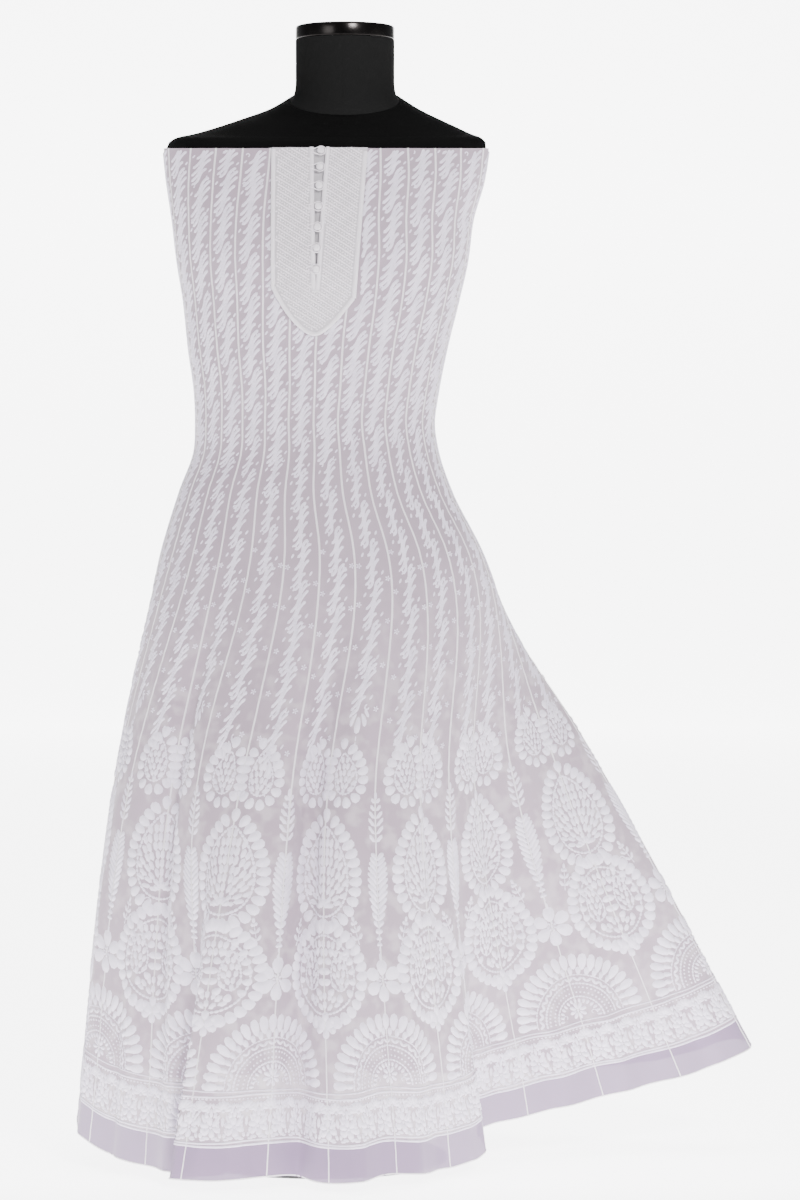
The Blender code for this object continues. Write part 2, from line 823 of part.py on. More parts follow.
def make_material(name, colour, roughness, metallic=0.0):
    """Principled material of one colour."""
    material = bpy.data.materials.new(name)
    material.use_nodes = True
    shader = material.node_tree.nodes["Principled BSDF"]
    shader.inputs["Base Color"].default_value = (*colour, 1.0)
    shader.inputs["Roughness"].default_value = roughness
    shader.inputs["Metallic"].default_value = metallic
    material.diffuse_color = (*colour, 1.0)
    return material


def clear_scene():
    """Remove every object before building."""
    for thing in list(bpy.data.objects):
        bpy.data.objects.remove(thing, do_unlink=True)
    for collection in list(bpy.data.collections):
        bpy.data.collections.remove(collection)


def main():
    """Build the gown and its dress form."""
    clear_scene()
    collection = bpy.data.collections.new("anarkali_gown_on_form")
    cutters = bpy.data.collections.new("cutters")
    bpy.context.scene.collection.children.link(collection)
    bpy.context.scene.collection.children.link(cutters)
    make_material("cutter", (0.8, 0.2, 0.2), 0.5)
    materials = {
        "net": make_material("net", (0.72, 0.68, 0.72), 0.75),
        "slip": make_material("slip", (0.66, 0.62, 0.65), 0.6),
        "placket": make_material("placket", (0.78, 0.74, 0.76), 0.7),
        "form_cloth": make_material("form_cloth", (0.012, 0.012, 0.013), 0.8),
        "neck_cloth": make_material("neck_cloth", (0.022, 0.022, 0.024), 0.85),
        "dark_chrome": make_material("dark_chrome", (0.16, 0.16, 0.17), 0.18, 1.0),
        "black_paint": make_material("black_paint", (0.02, 0.02, 0.02), 0.4),
        "steel": make_material("steel", (0.55, 0.55, 0.56), 0.3, 1.0),
    }
    drape = gown_drape()
    rows = gown_rows(drape)
    for index in range(PANELS):
        panel(index, drape, rows, materials["net"], collection)
    lining(drape, rows, materials["slip"], collection)
    torso(drape, rows, materials["form_cloth"], collection)
    neck(materials["neck_cloth"], collection)
    neck_rim(materials["dark_chrome"], collection)
    stand(materials, collection)
    placket(drape, rows, materials, collection, cutters)
    buttons(drape, rows, materials["placket"], collection)


main()
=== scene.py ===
"""Looks of a full-length panelled anarkali gown of embroidered net on a black limbless dress form."""

import logging
import math
from dataclasses import dataclass
from enum import Enum

import bpy
import numpy as np
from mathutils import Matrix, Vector


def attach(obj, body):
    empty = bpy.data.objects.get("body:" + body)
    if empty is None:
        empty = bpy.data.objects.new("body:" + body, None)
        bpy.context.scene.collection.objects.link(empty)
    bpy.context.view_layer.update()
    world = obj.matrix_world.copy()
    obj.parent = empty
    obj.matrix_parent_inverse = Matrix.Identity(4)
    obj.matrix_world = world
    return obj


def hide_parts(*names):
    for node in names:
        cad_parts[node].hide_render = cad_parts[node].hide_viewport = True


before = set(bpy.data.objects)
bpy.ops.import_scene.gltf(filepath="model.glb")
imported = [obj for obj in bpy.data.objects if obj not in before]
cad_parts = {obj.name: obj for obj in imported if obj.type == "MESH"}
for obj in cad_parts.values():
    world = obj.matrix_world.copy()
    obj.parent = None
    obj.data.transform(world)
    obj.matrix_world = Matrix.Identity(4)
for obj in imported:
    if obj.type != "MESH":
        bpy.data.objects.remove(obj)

LOG = logging.getLogger("gown")
MM = 0.001

# Panels and ring samples, as in the solids
PANELS = 26
FRONT_PANELS = 13
SAMPLES_PER_PANEL = 12
RING_STEPS = 24
EYE_HEIGHT = 0.766
EYE_DISTANCE = 5.0
WAIST_ROW = 7

# Rings of the bodice: height, centre_x, centre_y, half_width, front_depth, back_depth (mm)
BODICE_RINGS = (
    (1193.0, 7.5, -28.0, 190.5, 57.0, 108.0),
    (1153.0, 6.3, -24.0, 185.7, 74.0, 106.0),
    (1107.0, 3.0, -16.0, 176.0, 94.0, 102.0),
    (1059.0, 2.5, -8.0, 170.2, 108.0, 98.0),
    (1015.0, 1.0, -2.0, 161.8, 110.0, 93.0),
    (955.0, -3.2, 0.0, 151.3, 103.0, 90.0),
    (904.0, -4.7, 0.0, 142.8, 96.0, 88.0),
    (868.0, -6.4, 0.0, 139.9, 94.0, 88.0),
    (838.0, -5.0, 0.0, 142.5, 98.0, 91.0),
    (788.0, -5.5, 0.0, 159.5, 114.0, 106.0),
    (719.0, 1.5, 0.0, 187.5, 140.0, 132.0),
)

# Folds at knee height: crest_x, crest_y, height, dip to the next crest (mm)
KNEE_FOLDS = (
    (-30.0, -196.0, 440.0, 22.0),
    (13.0, -194.0, 440.0, -12.0),
    (68.0, -198.0, 441.0, -5.0),
    (115.0, -172.0, 442.0, 6.0),
    (141.0, -130.0, 445.0, -4.0),
    (176.0, -84.0, 452.0, 7.0),
    (206.0, -42.0, 460.0, -2.0),
    (262.0, -8.0, 478.0, -3.0),
    (304.0, 34.0, 495.0, -9.0),
    (303.0, 72.0, 495.0, -2.0),
    (250.0, 104.0, 485.0, 8.0),
    (190.0, 128.0, 475.0, -8.0),
    (140.0, 146.0, 470.0, 16.0),
    (92.0, 158.0, 466.0, -8.0),
    (40.0, 174.0, 465.0, 18.0),
    (-14.0, 172.0, 465.0, -8.0),
    (-66.0, 176.0, 465.0, 17.0),
    (-112.0, 164.0, 465.0, -8.0),
    (-158.0, 142.0, 464.0, 15.0),
    (-190.0, 112.0, 464.0, -7.0),
    (-216.0, 74.0, 463.0, 12.0),
    (-234.0, 36.0, 462.0, -5.0),
    (-236.0, -30.0, 462.0, -12.0),
    (-190.0, -112.0, 452.0, 16.0),
    (-150.0, -146.0, 447.0, -4.0),
    (-108.0, -186.0, 442.0, -9.0),
)

# Folds at the hem: crest_x, crest_y, height, dip to the next crest (mm)
HEM_FOLDS = (
    (-56.0, -243.0, 17.0, 32.0),
    (8.0, -246.0, 10.0, -26.0),
    (81.0, -225.0, 17.0, -4.0),
    (126.0, -180.0, 11.0, 6.0),
    (157.0, -140.0, 12.0, -3.0),
    (184.0, -100.0, 18.0, -2.0),
    (191.0, -76.0, 30.0, 17.0),
    (208.0, -14.0, 45.0, -2.0),
    (248.0, -2.0, 52.0, -3.0),
    (347.0, 35.0, 72.0, 3.0),
    (446.0, 62.0, 93.0, -4.0),
    (516.0, 88.0, 120.0, -8.0),
    (500.0, 116.0, 126.0, 5.0),
    (400.0, 136.0, 98.0, -5.0),
    (292.0, 160.0, 82.0, 26.0),
    (228.0, 192.0, 78.0, -6.0),
    (196.0, 214.0, 76.0, 34.0),
    (142.0, 232.0, 72.0, -6.0),
    (108.0, 252.0, 70.0, 38.0),
    (58.0, 258.0, 68.0, -6.0),
    (20.0, 272.0, 68.0, 38.0),
    (-32.0, 270.0, 68.0, -6.0),
    (-70.0, 264.0, 68.0, 32.0),
    (-124.0, 250.0, 68.0, -6.0),
    (-160.0, 230.0, 70.0, 36.0),
    (-202.0, 200.0, 70.0, -6.0),
    (-232.0, 166.0, 70.0, 32.0),
    (-256.0, 124.0, 70.0, -5.0),
    (-276.0, 84.0, 70.0, 24.0),
    (-284.0, 30.0, 70.0, -3.0),
    (-284.0, -12.0, 58.0, -14.0),
    (-248.0, -103.0, 24.0, -2.0),
    (-212.0, -143.0, 17.0, 3.0),
    (-166.0, -190.0, 14.0, 8.0),
    (-104.0, -206.0, 14.0, 0.0),
    (-166.0, -226.0, 12.0, -5.0),
    (-112.0, -243.0, 12.0, -4.0),
)

# Slip below the waist: height, centre_x, half_width, front_depth, back_depth (mm)
LINING_RINGS = (
    (838.0, -5.0, 138.5, 94.0, 87.0),
    (788.0, -4.0, 150.0, 104.0, 97.0),
    (719.0, 0.0, 172.0, 124.0, 118.0),
    (450.0, -15.0, 172.0, 138.0, 124.0),
    (150.0, -40.0, 192.0, 164.0, 150.0),
)

# Form below the waist: height, centre_x, half_width, front_depth, back_depth (mm)
TORSO_LOWER_RINGS = (
    (838.0, -5.0, 135.5, 91.0, 84.0),
    (788.0, -4.0, 146.0, 100.0, 93.0),
    (719.0, -2.0, 162.0, 114.0, 110.0),
    (666.0, -2.0, 165.0, 117.0, 114.0),
    (656.0, -2.0, 160.0, 112.0, 109.0),
    (652.0, -2.0, 148.0, 100.0, 97.0),
)

# Shoulders of the form: height, centre_x, centre_y, half_width, half_depth, forward drop (mm)
SHOULDER_RINGS = (
    (1200.0, 8.2, 0.0, 187.0, 80.0, 6.0),
    (1205.0, 9.6, 1.0, 181.0, 76.0, 7.0),
    (1210.5, 14.5, 3.0, 163.0, 71.0, 9.0),
    (1218.0, 19.5, 5.0, 142.0, 68.0, 12.0),
    (1226.5, 23.5, 6.0, 119.0, 65.0, 15.0),
    (1236.5, 28.0, 7.0, 92.0, 62.0, 19.0),
    (1249.6, 29.0, 9.0, 68.0, 60.0, 22.13),
)

# Neck block: height, extra width, forward drop (mm)
NECK_RINGS = (
    (1250.0, 6.0, 22.5),
    (1256.0, 2.5, 17.0),
    (1266.0, 0.3, 9.0),
    (1280.0, 0.0, 0.0),
    (1300.0, 0.0, 0.0),
    (1321.5, 0.0, 0.0),
)

# Cap of the neck: height, inset (mm)
RIM_RINGS = (
    (1321.8, 1.2),
    (1322.5, 0.3),
    (1323.4, 0.0),
    (1335.2, 0.0),
    (1336.6, 0.3),
    (1337.5, 1.0),
    (1338.0, 2.4),
)

# Creases laid over the large folds: place among the panels, top and bottom as a share
# of the cloth's length, half width, height (a trough where negative), lean in panels (mm)
CREASES = (
    (0.34, 0.60, 1.00, 9.0, 3.1, 0.06),
    (0.78, 0.47, 0.93, 7.0, -2.4, -0.05),
    (1.46, 0.66, 1.00, 12.0, -4.2, 0.10),
    (1.86, 0.52, 1.00, 8.0, 3.3, 0.04),
    (2.42, 0.71, 1.00, 11.0, 3.9, -0.08),
    (3.20, 0.44, 0.88, 6.5, -2.8, 0.09),
    (3.62, 0.58, 1.00, 9.0, 4.2, 0.05),
    (4.35, 0.50, 1.00, 8.0, -3.5, -0.04),
    (5.28, 0.62, 1.00, 14.0, -3.9, 0.05),
    (5.72, 0.41, 0.84, 9.0, 2.8, 0.12),
    (6.40, 0.55, 1.00, 13.0, 4.0, -0.07),
    (7.33, 0.68, 1.00, 12.0, -3.3, 0.03),
    (8.52, 0.60, 1.00, 12.0, 3.7, 0.08),
    (9.36, 0.48, 0.95, 9.0, -3.1, -0.09),
    (10.55, 0.63, 1.00, 13.0, 4.5, 0.05),
    (11.40, 0.54, 1.00, 9.0, -3.3, 0.07),
    (12.62, 0.70, 1.00, 12.0, 4.0, -0.06),
    (13.45, 0.46, 0.90, 8.0, -2.8, 0.10),
    (14.30, 0.61, 1.00, 11.0, 3.5, 0.04),
    (15.66, 0.53, 1.00, 10.0, -3.7, -0.08),
    (16.41, 0.67, 1.00, 13.0, 4.2, 0.06),
    (17.60, 0.49, 0.93, 8.5, -3.0, 0.05),
    (18.38, 0.62, 1.00, 12.0, 3.9, -0.05),
    (19.55, 0.57, 1.00, 9.0, -3.3, 0.09),
    (20.44, 0.65, 1.00, 12.0, 4.0, 0.03),
    (21.28, 0.45, 0.86, 7.0, -2.4, -0.07),
    (21.70, 0.59, 1.00, 10.0, 3.5, 0.08),
    (22.36, 0.69, 1.00, 10.0, -3.9, 0.04),
    (23.52, 0.51, 1.00, 8.0, 2.8, -0.06),
    (24.46, 0.43, 0.90, 7.0, -2.3, 0.06),
    (25.20, 0.56, 1.00, 9.0, 3.3, -0.05),
    (25.66, 0.72, 1.00, 10.0, -3.5, 0.04),
)

# Short pulls of the cloth at the bust and waist, in the same columns
PULLS = (
    (3.45, 0.13, 0.30, 7.0, -0.9, 0.55),
    (4.05, 0.22, 0.37, 6.0, 0.7, -0.30),
    (22.55, 0.13, 0.30, 7.0, -0.9, -0.55),
    (21.95, 0.22, 0.37, 6.0, 0.7, 0.30),
    (9.10, 0.24, 0.38, 8.0, 0.8, 0.20),
    (16.90, 0.24, 0.38, 8.0, 0.8, -0.20),
    (13.10, 0.30, 0.44, 7.0, -0.8, 0.15),
)


class Shape(Enum):
    """Form of one raised stitch."""

    CHAIN = 0
    PETAL = 1
    BEAD = 2


def unit(vectors: np.ndarray) -> np.ndarray:
    """Vectors at a length of one."""
    return vectors / np.maximum(np.linalg.norm(vectors, axis=-1, keepdims=True), 1e-12)


def ease(share: np.ndarray) -> np.ndarray:
    """Smooth rise from 0 to 1."""
    share = np.clip(share, 0.0, 1.0)
    return share * share * (3.0 - 2.0 * share)


def spline_tangents(keys: np.ndarray, values: np.ndarray) -> np.ndarray:
    """Slopes of a smooth open curve through the values at the keys."""
    tangents = np.zeros_like(values)
    spans = np.diff(keys)
    slopes = np.diff(values, axis=0) / spans.reshape((-1,) + (1,) * (values.ndim - 1))
    tangents[0] = slopes[0]
    tangents[-1] = slopes[-1]
    for row in range(1, len(keys) - 1):
        before, after = spans[row - 1], spans[row]
        tangents[row] = (slopes[row - 1] * after + slopes[row] * before) / (before + after)
    return tangents


def hermite(share, span, start, end, start_slope, end_slope):
    """Point on a cubic between two ends."""
    square = share * share
    cube = square * share
    return (
        (2 * cube - 3 * square + 1) * start
        + (cube - 2 * square + share) * span * start_slope
        + (3 * square - 2 * cube) * end
        + (cube - square) * span * end_slope
    )


def equal_steps(samples: np.ndarray, steps: int, closed: bool = True) -> np.ndarray:
    """Points at equal distances along a dense line."""
    line = np.vstack([samples, samples[:1]]) if closed else samples
    run = np.concatenate([[0.0], np.cumsum(np.linalg.norm(np.diff(line, axis=0), axis=1))])
    count = steps if closed else steps + 1
    targets = np.arange(count) * run[-1] / steps
    return np.stack([np.interp(targets, run, line[:, axis]) for axis in range(line.shape[1])], 1)


def closed_curve(points: np.ndarray) -> np.ndarray:
    """Dense samples of a smooth closed curve through the points."""
    padded = np.vstack([points[-2:], points, points[:3]])
    keys = np.concatenate([[0.0], np.cumsum(np.linalg.norm(np.diff(padded, axis=0), axis=1))])
    slopes = spline_tangents(keys, padded)
    samples = []
    for row in range(2, len(points) + 2):
        span = keys[row + 1] - keys[row]
        for step in range(RING_STEPS):
            ends = (padded[row], padded[row + 1], slopes[row], slopes[row + 1])
            samples.append(hermite(step / RING_STEPS, span, *ends))
    return np.array(samples)


def fold_ring(folds: tuple) -> np.ndarray:
    """Ring through the crests and dips of a fold table, panels sharing its length equally."""
    crests = np.array([row[:3] for row in folds])
    points = []
    for index, crest in enumerate(crests):
        following = crests[(index + 1) % len(crests)]
        along = following - crest
        outward = unit(np.array([along[1], -along[0], 0.0]))
        points.append(crest)
        points.append((crest + following) / 2 - folds[index][3] * outward)
    return equal_steps(closed_curve(np.array(points) * MM), PANELS * SAMPLES_PER_PANEL)


def half_arc(start, centre_x, centre_y, half_width, depth, steps) -> np.ndarray:
    """Equal steps along half an ellipse that begins at an angle."""
    angles = start + np.linspace(0.0, math.pi, 400)
    across = centre_x + half_width * np.cos(angles)
    dense = np.stack([across, centre_y + depth * np.sin(angles), 0 * angles], axis=1)
    return equal_steps(dense, steps, closed=False)


def body_ring(height, centre_x, centre_y, half_width, front_depth, back_depth) -> np.ndarray:
    """Ring round the body, the front half holding the front panels."""
    front_steps = FRONT_PANELS * SAMPLES_PER_PANEL
    back_steps = (PANELS - FRONT_PANELS) * SAMPLES_PER_PANEL
    front = half_arc(math.pi, centre_x, centre_y, half_width, front_depth, front_steps)
    back = half_arc(0.0, centre_x, centre_y, half_width, back_depth, back_steps)
    ring = np.vstack([front[:-1], back[:-1]])
    ring[:, 2] = height
    return np.roll(ring, -front_steps // 2, axis=0) * MM


def tilted_ring(height, centre_x, centre_y, half_width, half_depth, drop) -> np.ndarray:
    """Oval ring that dips towards the front."""
    ring = body_ring(height, centre_x, centre_y, half_width, half_depth, half_depth)
    ring[:, 2] += drop * MM * (ring[:, 1] - centre_y * MM) / (half_depth * MM)
    return ring


class Drape:
    """Cloth surface through rings, addressed by panel and by length down the cloth."""

    def __init__(self, rings: list) -> None:
        """Lay the surface through rings of equal count.

        Args:
            rings: rings of points, from the top edge to the hem.
        """
        self.rings = np.array(rings)
        steps = np.linalg.norm(np.diff(self.rings, axis=0), axis=2).mean(axis=1)
        self.keys = np.concatenate([[0.0], np.cumsum(steps)])
        self.slopes = spline_tangents(self.keys, self.rings)
        self.length = float(self.keys[-1])
        self.width_downs = np.linspace(0.0, self.length, 81)
        fine = np.arange(PANELS * SAMPLES_PER_PANEL + 1) / SAMPLES_PER_PANEL
        lines = self.points(fine[None, :], self.width_downs[:, None])
        spans = np.linalg.norm(np.diff(lines, axis=1), axis=2)
        self.widths = spans.reshape(len(self.width_downs), PANELS, SAMPLES_PER_PANEL).sum(axis=2)

    @classmethod
    def of_gown(cls) -> "Drape":
        """Surface of the whole gown."""
        rings = [body_ring(*row) for row in BODICE_RINGS]
        top = rings[0]
        top[:, 2] += (top[:, 2] - EYE_HEIGHT) * top[:, 1] / EYE_DISTANCE
        rings.append(fold_ring(KNEE_FOLDS))
        rings.append(fold_ring(HEM_FOLDS))
        return cls(rings)

    def points(self, place, down) -> np.ndarray:
        """Points on the middle of the cloth.

        Args:
            place: panels counted from the centre front seam, any whole number being a seam.
            down: metres of cloth from the top edge.

        Returns:
            One point for each pair.
        """
        place, down = np.broadcast_arrays(np.asarray(place, float), np.asarray(down, float))
        shape = place.shape
        place, down = place.ravel(), np.clip(down.ravel(), 0.0, self.keys[-1])
        count = SAMPLES_PER_PANEL * PANELS
        row = np.clip(np.searchsorted(self.keys, down, side="right") - 1, 0, len(self.keys) - 2)
        span = (self.keys[row + 1] - self.keys[row])[:, None]
        share = (down - self.keys[row])[:, None] / span
        turn = np.mod(place * SAMPLES_PER_PANEL, count)
        base = np.floor(turn).astype(int)
        lines = []
        for shift in (-1, 0, 1, 2):
            at = (base + shift) % count
            ends = (self.rings[row, at], self.rings[row + 1, at])
            lines.append(hermite(share, span, *ends, self.slopes[row, at], self.slopes[row + 1, at]))
        slopes = ((lines[2] - lines[0]) / 2, (lines[3] - lines[1]) / 2)
        found = hermite((turn - base)[:, None], 1.0, lines[1], lines[2], *slopes)
        return found.reshape(shape + (3,))

    def outward(self, place, down) -> np.ndarray:
        """Directions out of the cloth."""
        across = self.points(place + 0.02, down) - self.points(place - 0.02, down)
        upper = np.maximum(down - 0.002, 0.0)
        lower = np.minimum(down + 0.002, self.length)
        return unit(np.cross(self.points(place, lower) - self.points(place, upper), across))

    def width(self, place, down) -> np.ndarray:
        """Metres of cloth in one panel, as it changes down the cloth."""
        place, down = np.broadcast_arrays(np.asarray(place, float), np.asarray(down, float))
        row = np.clip(down / self.length, 0.0, 0.99999) * (len(self.width_downs) - 1)
        upper = row.astype(int)
        column = np.mod(place - 0.5, PANELS)
        left = np.minimum(column.astype(int), PANELS - 1)
        right = (left + 1) % PANELS
        fall, side = row - upper, column - left
        first = self.widths[upper, left] * (1 - side) + self.widths[upper, right] * side
        second = self.widths[upper + 1, left] * (1 - side) + self.widths[upper + 1, right] * side
        return first * (1 - fall) + second * fall


class NetSurface:
    """Outer face of the net with its creases, puckers and soft waves."""

    def __init__(self, drape: Drape) -> None:
        """Keep the large form that the relief is laid on."""
        self.drape = drape
        self.length = drape.length

    def crease_height(self, place: np.ndarray, down: np.ndarray) -> np.ndarray:
        """Height of all the listed creases at places of the cloth."""
        height = np.zeros_like(place)
        metres = self.drape.width(place, down)
        for middle, top, bottom, half, rise, lean in CREASES + PULLS:
            run = (down / self.length - top) / (bottom - top)
            aside = np.mod(place - middle - lean * run + PANELS / 2, PANELS) - PANELS / 2
            fade = ease(run / 0.45)
            if bottom < 1.0:
                fade = fade * ease((1.0 - run) / 0.35)
            height += rise * MM * fade * np.exp(-((aside * metres / (half * MM)) ** 2))
        return height

    def relief(self, place: np.ndarray, down: np.ndarray) -> np.ndarray:
        """Height of the net over the large form, in metres."""
        fall = down / self.length
        frac = place - np.floor(place)
        round_seams = place * (2 * math.pi / PANELS)
        bow = (0.35 + 1.5 * ease((fall - 0.45) / 0.5)) * MM * np.sin(math.pi * frac) ** 2
        pucker = 0.22 * MM * np.sin(down * 310.0 + 2.1 * np.sin(round_seams * 11))
        pucker = pucker * np.exp(-((np.minimum(frac, 1 - frac) * 9.0) ** 2))
        wave = np.sin(round_seams * 22 + 1.7 * np.sin(down * 9.0)) * np.sin(down * 17.0 + round_seams * 5)
        flutter = np.sin(round_seams * 38 + 0.8) * ease((fall - 0.80) / 0.2) * 1.3 * MM
        return (
            self.crease_height(place, down)
            + bow
            + pucker
            + 0.55 * MM * wave * ease((fall - 0.3) / 0.5)
            + flutter
        )

    def lifted(self, place, down, lift) -> np.ndarray:
        """Points at a height over the net.

        Args:
            place: panels from the centre front seam.
            down: metres from the top edge.
            lift: metres over the face of the net.

        Returns:
            One point for each place.
        """
        place, down = np.broadcast_arrays(np.asarray(place, float), np.asarray(down, float))
        height = self.relief(place, down) + lift
        return self.drape.points(place, down) + self.drape.outward(place, down) * height[..., None]


class Value:
    """Number from a node socket; arithmetic on it adds Math nodes."""

    def __init__(self, board: "Board", socket: bpy.types.NodeSocket) -> None:
        """Wrap an output socket of a board."""
        self.board = board
        self.socket = socket

    def math(self, operation: str, *others) -> "Value":
        """One Math node on this number and others."""
        numbers = dict(enumerate((self, *others)))
        return self.board.add("ShaderNodeMath", {"operation": operation}, numbers)

    def __add__(self, other):
        """Sum."""
        return self.math("ADD", other)

    def __radd__(self, other):
        """Reflected sum."""
        return self.math("ADD", other)

    def __sub__(self, other):
        """Difference."""
        return self.math("SUBTRACT", other)

    def __rsub__(self, other):
        """Reflected difference."""
        return self.board.add("ShaderNodeMath", {"operation": "SUBTRACT"}, {0: other, 1: self})

    def __mul__(self, other):
        """Product."""
        return self.math("MULTIPLY", other)

    def __rmul__(self, other):
        """Reflected product."""
        return self.math("MULTIPLY", other)

    def __truediv__(self, other):
        """Quotient."""
        return self.math("DIVIDE", other)

    def sine(self) -> "Value":
        """Sine of the number."""
        return self.math("SINE")

    def absolute(self) -> "Value":
        """Size of the number without its sign."""
        return self.math("ABSOLUTE")

    def over(self, limit: float) -> "Value":
        """1 above the limit, otherwise 0."""
        return self.math("GREATER_THAN", limit)

    def clamped(self) -> "Value":
        """The number kept from 0 to 1."""
        return self.board.add("ShaderNodeClamp", {}, {0: self})


class Board:
    """Node tree of one material, with its Principled shader."""

    def __init__(self, name: str) -> None:
        """Start a material with one shader and its output."""
        self.material = bpy.data.materials.new(name)
        self.material.use_nodes = True
        self.nodes = self.material.node_tree.nodes
        self.links = self.material.node_tree.links
        self.shader = self.nodes["Principled BSDF"]

    def feed(self, socket: bpy.types.NodeSocket, value) -> None:
        """Set a socket from a number or colour, or link it from a value."""
        if isinstance(value, Value):
            self.links.new(value.socket, socket)
        else:
            socket.default_value = value

    def add(self, kind: str, settings: dict, inputs: dict, output=0) -> Value:
        """Add any node.

        Args:
            kind: type name of the node.
            settings: properties of the node, set before its sockets.
            inputs: socket names or numbers with their values or links.
            output: name or number of the output that is returned.

        Returns:
            The chosen output.
        """
        node = self.nodes.new(kind)
        for name, setting in settings.items():
            setattr(node, name, setting)
        for name, value in inputs.items():
            self.feed(node.inputs[name], value)
        return Value(self, node.outputs[output])

    def place(self) -> Value:
        """Position on the object itself."""
        return self.add("ShaderNodeTexCoord", {}, {}, "Object")

    def cloth_place(self) -> Value:
        """Position on the flat cloth, in metres."""
        return self.add("ShaderNodeTexCoord", {}, {}, "UV")

    def part(self, vector: Value, axis: str) -> Value:
        """One coordinate of a position."""
        return self.add("ShaderNodeSeparateXYZ", {}, {0: vector}, axis)

    def noise(self, vector: Value, scale: float, detail: float = 2.0) -> Value:
        """Smooth noise from 0 to 1."""
        inputs = {"Vector": vector, "Scale": scale, "Detail": detail}
        return self.add("ShaderNodeTexNoise", {}, inputs, 0)

    def blend(self, share, first, second) -> Value:
        """Colour between two colours."""
        settings = {"data_type": "RGBA"}
        return self.add("ShaderNodeMix", settings, {0: share, 6: first, 7: second}, 2)

    def bump(self, height: Value, depth: float, strength: float = 1.0) -> None:
        """Feed the shader's normal from a height."""
        inputs = {"Strength": strength, "Distance": depth, "Height": height}
        self.feed(self.shader.inputs["Normal"], self.add("ShaderNodeBump", {}, inputs, 0))

    def dress(self, **inputs) -> bpy.types.Material:
        """Set the shader's inputs, spaces written as underscores, and return the material."""
        for name, value in inputs.items():
            self.feed(self.shader.inputs[name.replace("_", " ")], value)
        return self.material


def shade(level: float, warm: float = 0.0, cool: float = 0.0) -> tuple:
    """Colour of one brightness with a little more red or blue."""
    return (level * (1 + warm), level, level * (1 + cool), 1.0)


@dataclass(frozen=True)
class NetFinish:
    """Fine net: thin threads round small cells, with a plainer, clearer hem strip."""

    ground: tuple = (0.335, 0.258, 0.318, 1.0)
    pale: tuple = (0.440, 0.350, 0.425, 1.0)
    strip: tuple = (0.245, 0.172, 0.282, 1.0)
    cell: float = 0.0016
    shadow: tuple = (0.660, 0.590, 0.640, 1.0)
    shadow_down: float = 0.50
    cover: float = 0.92
    strip_cover: float = 0.95

    def build(self, name: str, strip_down: float) -> bpy.types.Material:
        """Make the material, the hem strip beginning at a length down the cloth."""
        board = Board(name)
        cloth = board.cloth_place()
        across, down = board.part(cloth, "X"), board.part(cloth, "Y")
        turn = 2 * math.pi / self.cell
        first = (across * turn + down * (0.58 * turn)).sine()
        second = (across * turn - down * (0.58 * turn)).sine()
        third = (down * (1.16 * turn)).sine()
        threads = ((first * second).absolute() + third.absolute()) * 0.5
        patches = board.noise(board.place(), 9.0, 3.0)
        grain = board.noise(cloth, 900.0, 1.0)
        below = ((down - (strip_down - 0.0015)) * 400.0).clamped()
        body = board.blend((patches * 1.5 - 0.25 + (grain - 0.5) * 0.3).clamped(), self.ground, self.pale)
        shadows = (board.noise(board.place(), 62.0, 1.5) * 5.0 - 2.3).clamped()
        low = ((down - self.shadow_down) * 6.0).clamped()
        body = board.blend(shadows * low * 0.42, body, self.shadow)
        colour = board.blend(below, body, self.strip)
        cover = self.cover + (threads - 0.45) * 0.10 - below * (self.cover - self.strip_cover)
        board.bump(threads * 0.6 + grain * 0.4, 0.0002, 0.5)
        return board.dress(
            Base_Color=colour,
            Alpha=cover.clamped(),
            Roughness=0.72 + (grain - 0.5) * 0.2,
            Sheen_Weight=0.25,
            Sheen_Roughness=0.5,
        )


@dataclass(frozen=True)
class ThreadFinish:
    """Lightly shining embroidery thread, lying side by side, with painted shade in the grooves between the
    threads.
    """

    bright: tuple = (0.840, 0.775, 0.905, 1.0)
    # soft: the dimmer thread tone, also used as painted shade in the grooves between threads
    soft: tuple = (0.600, 0.545, 0.655, 1.0)
    pitch: float = 0.0011

    def build(self, name: str) -> bpy.types.Material:
        """Make the material."""
        board = Board(name)
        cloth = board.cloth_place()
        lie = (board.part(cloth, "Y") * (2 * math.pi / self.pitch)).sine() * 0.5 + 0.5
        patches = board.noise(board.place(), 60.0, 2.0)
        # Painted shade: the colour goes towards the soft tone in the grooves between threads and lighter on
        # their crests; the patches add random tone
        share = (patches * 1.3 - 0.1 - lie * 0.45).clamped()
        board.bump(lie, 0.00022, 0.8)
        return board.dress(
            Base_Color=board.blend(share, self.bright, self.soft),
            Roughness=0.48 + (patches - 0.5) * 0.2,
            Sheen_Weight=0.12,
        )


@dataclass(frozen=True)
class WovenFinish:
    """Plain or knitted cloth with crossed threads and a little wear."""

    light: tuple
    dark: tuple
    pitch: float
    roughness: float
    sheen: float = 0.3
    slant: float = 0.0
    shine: float = 0.5

    def build(self, name: str) -> bpy.types.Material:
        """Make the material."""
        board = Board(name)
        cloth = board.cloth_place()
        across, down = board.part(cloth, "X"), board.part(cloth, "Y")
        turn = 2 * math.pi / self.pitch
        warp = (across * turn + down * (self.slant * turn)).sine()
        weft = (down * turn).sine()
        weave = (warp * weft) * 0.5 + 0.5
        wear = board.noise(board.place(), 14.0, 3.0)
        share = (weave * 0.5 + wear * 0.9 - 0.25).clamped()
        board.bump(weave, 0.00025, 0.5)
        return board.dress(
            Base_Color=board.blend(share, self.dark, self.light),
            Roughness=self.roughness + (wear - 0.5) * 0.15,
            Specular_IOR_Level=self.shine,
            Sheen_Weight=self.sheen,
        )


